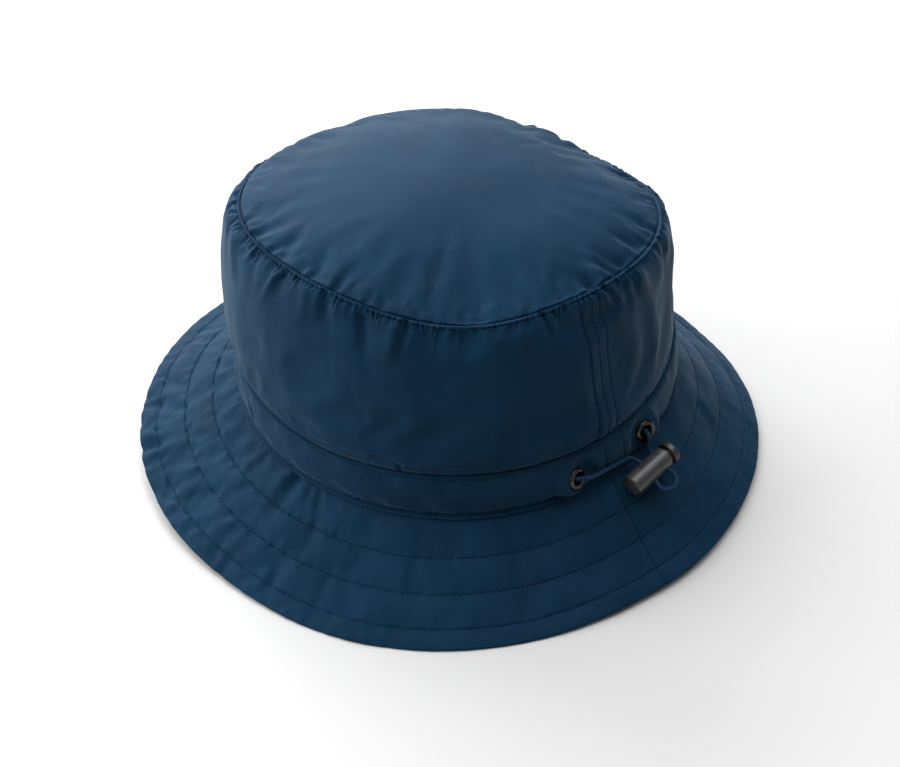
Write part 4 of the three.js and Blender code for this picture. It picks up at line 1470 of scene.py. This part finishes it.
def rounded_profile(corners, steps=4):
    """A profile from corners of (radius, height, rounding)"""
    places = np.array([corner[:2] for corner in corners], float)
    t = np.linspace(0, 1, steps + 1)[:, None]
    profile = []
    for index, (corner, (*_, size)) in enumerate(zip(places, corners)):
        sides = (places[index - 1], places[(index + 1) % len(places)])
        if size == 0:
            curve = [corner]
        else:
            start, end = (corner + unit(side - corner) * size for side in sides)
            curve = start * (1 - t) ** 2 + corner * 2 * t * (1 - t) + end * t ** 2
        profile.extend(tuple(point) for point in curve)
    return profile


def subtract(piece, cutter):
    modifier = piece.modifiers.new("cut", "BOOLEAN")
    modifier.operation = "DIFFERENCE"
    modifier.solver = "EXACT"
    modifier.object = cutter
    result = bpy.data.meshes.new_from_object(piece.evaluated_get(bpy.context.evaluated_depsgraph_get()))
    piece.modifiers.clear()
    unused = [piece.data, cutter.data]
    piece.data = result
    bpy.data.objects.remove(cutter)
    for mesh in unused:
        bpy.data.meshes.remove(mesh)


def cut_round_hole(piece, matrix, radius, reach, sides=32):
    profile = [(0, -reach), (radius, -reach), (radius, reach), (0, reach)]
    subtract(piece, turned("cutter", profile, sides, matrix))


def cut_slot(piece, matrix, half_width, low, high, reach):
    """Cuts a slot right through a piece, from one height to another"""
    corners = [
        (x, y, z) for x in (-reach, reach) for y in (-half_width, half_width) for z in (low, high)
    ]
    faces = [(0, 1, 3, 2), (4, 6, 7, 5), (0, 4, 5, 1), (2, 3, 7, 6), (0, 2, 6, 4), (1, 5, 7, 3)]
    subtract(piece, add_mesh("cutter", placed(corners, matrix), faces))


# Edges of the moulded lock that are sharper than this angle in degrees stay sharp
SHARP_ANGLE = 42
TURNED_SIDES = 72


def finish_moulded(piece, material, body, slot, node):
    modifier = piece.modifiers.new("edges", "EDGE_SPLIT")
    modifier.split_angle = math.radians(SHARP_ANGLE)
    piece.data.shade_smooth()
    piece.data.materials.append(material)
    belongs(piece, body, slot, node)


def add_eyelets():
    metal = gunmetal()
    back = -CLOTH - EYELET_GAP
    profile = rounded_profile([
        (EYELET_HOLE, back - EYELET_LIP, 0.15),
        (EYELET_BACK, back - EYELET_LIP, 0.2),
        (EYELET_BACK, back, 0.1),
        (EYELET_NECK, back, 0.1),
        (EYELET_NECK, 0.1, 0.1),
        (EYELET_FLANGE, 0.1, 0.25),
        (EYELET_FLANGE - 0.12, EYELET_EDGE, 0.4),
        (EYELET_CREST, EYELET_HEIGHT + 0.1, 0.6),
        (EYELET_HOLE + 0.1, EYELET_EDGE, 0.45),
    ])
    for name, eyelet in EYELETS.items():
        piece = turned(name + "_ring", profile, 56, eyelet_matrix(eyelet))
        piece.data.materials.append(metal)
        belongs(piece, "hat", "eyelet", name)


def add_barrel(matrix):
    barrel = turned("lock_barrel", rounded_profile([
        (0, 0, 0),
        (BARREL_RADIUS - 0.05, 0, 0.9),
        (BARREL_RADIUS, 3, 0.4),
        (BARREL_RADIUS, BARREL_LENGTH, 0.45),
        (BARREL_BORE, BARREL_LENGTH, 0.25),
        (BARREL_BORE, BARREL_FLOOR, 0.2),
        (0, BARREL_FLOOR, 0),
    ]), TURNED_SIDES, matrix)
    for place in CORD_HOLES:
        hole = matrix @ Matrix.Translation((0, 0, place)) @ Matrix.Rotation(math.pi / 2, 4, "Y")
        cut_round_hole(barrel, hole, CORD_HOLE_RADIUS, BARREL_RADIUS + 1, 24)
    plastic = moulded_plastic("lock_plastic", (0.044, 0.041, 0.039), (0.060, 0.056, 0.053), metallic=0.35)
    finish_moulded(barrel, plastic, "hat", "lock", "cord_lock_barrel")
    return barrel


def add_plunger(matrix):
    head = BARREL_LENGTH + STEM_NECK
    plunger = turned("lock_plunger", rounded_profile([
        (0, STEM_START, 0),
        (STEM_RADIUS, STEM_START, 0.3),
        (STEM_RADIUS, head, 0.2),
        (HEAD_RADIUS - 0.15, head, 0.35),
        (HEAD_RADIUS, head + HEAD_LENGTH, 0.6),
        (HEAD_RADIUS - 1.3, head + HEAD_LENGTH, 0.3),
        (HEAD_RADIUS - 1.6, head + HEAD_LENGTH - 0.35, 0.2),
        (0, head + HEAD_LENGTH - 0.3, 0),
    ]), TURNED_SIDES, matrix)
    for place in CORD_HOLES:
        cut_slot(plunger, matrix, SLOT_HALF, place - SLOT_HALF, place + SLOT_HALF + TRAVEL, STEM_RADIUS + 1)
    plastic = moulded_plastic("plunger_plastic", (0.030, 0.028, 0.027), (0.042, 0.039, 0.037), metallic=0.4)
    finish_moulded(plunger, plastic, "plunger", "lock_plunger", "cord_lock_plunger")
    return plunger


wall_panel()
top_panel()
band_panel()
brim_panel()
add_eyelets()
BARREL = add_barrel(lock_matrix())
PLUNGER = add_plunger(lock_matrix())


# Floor and light. The light is a little cool and the floor as much warmer, so it looks white.
COOL_LIGHT = (0.90, 0.95, 1)
WORLD_STRENGTH = 0.23
FLOOR_HALF = 4

# Soft rectangular lights aimed at the hat: turn and height above the floor in degrees, distance and size in
# metres, and power in watts
LIGHTS = {
    "key": (268, 68, 1.6, (2.4, 2.4), 34),
    "left": (322, 22, 1.6, (1.2, 0.8), 30),
    "back": (251, 28, 1.8, (1.8, 1.2), 51),
    "top": (215, 80, 1.5, (1.4, 1.4), 10),
    "fill": (125, 66, 1.7, (1.5, 1.2), 8),
}


def add_floor():
    mesh = bpy.data.meshes.new("floor")
    corners = [(x * FLOOR_HALF, y * FLOOR_HALF, 0) for x, y in ((-1, -1), (1, -1), (1, 1), (-1, 1))]
    mesh.from_pydata(corners, [], [(0, 1, 2, 3)])
    mesh.materials.append(matt("floor", scale=3, dark=(0.511, 0.484, 0.460), light=(0.529, 0.501, 0.476)))
    floor = bpy.data.objects.new("floor", mesh)
    bpy.context.scene.collection.objects.link(floor)


def add_light(name, turn, height, distance, size, power):
    data = bpy.data.lights.new(name, "AREA")
    data.shape = "RECTANGLE"
    data.size, data.size_y = size
    data.energy = power
    data.color = COOL_LIGHT
    light = bpy.data.objects.new(name, data)
    bpy.context.scene.collection.objects.link(light)
    way = Vector(direction(turn, height))
    light.location = way * distance
    light.rotation_euler = way.to_track_quat("Z", "Y").to_euler()
    light.visible_camera = False


def add_world():
    world = bpy.data.worlds.new("studio")
    bpy.context.scene.world = world
    world.use_nodes = True
    background = next(node for node in world.node_tree.nodes if node.type == "BACKGROUND")
    background.inputs["Color"].default_value = (*COOL_LIGHT, 1)
    background.inputs["Strength"].default_value = WORLD_STRENGTH


add_floor()
add_world()
for name, settings in LIGHTS.items():
    add_light(name, *settings)
bpy.context.scene.view_settings.view_transform = "Standard"
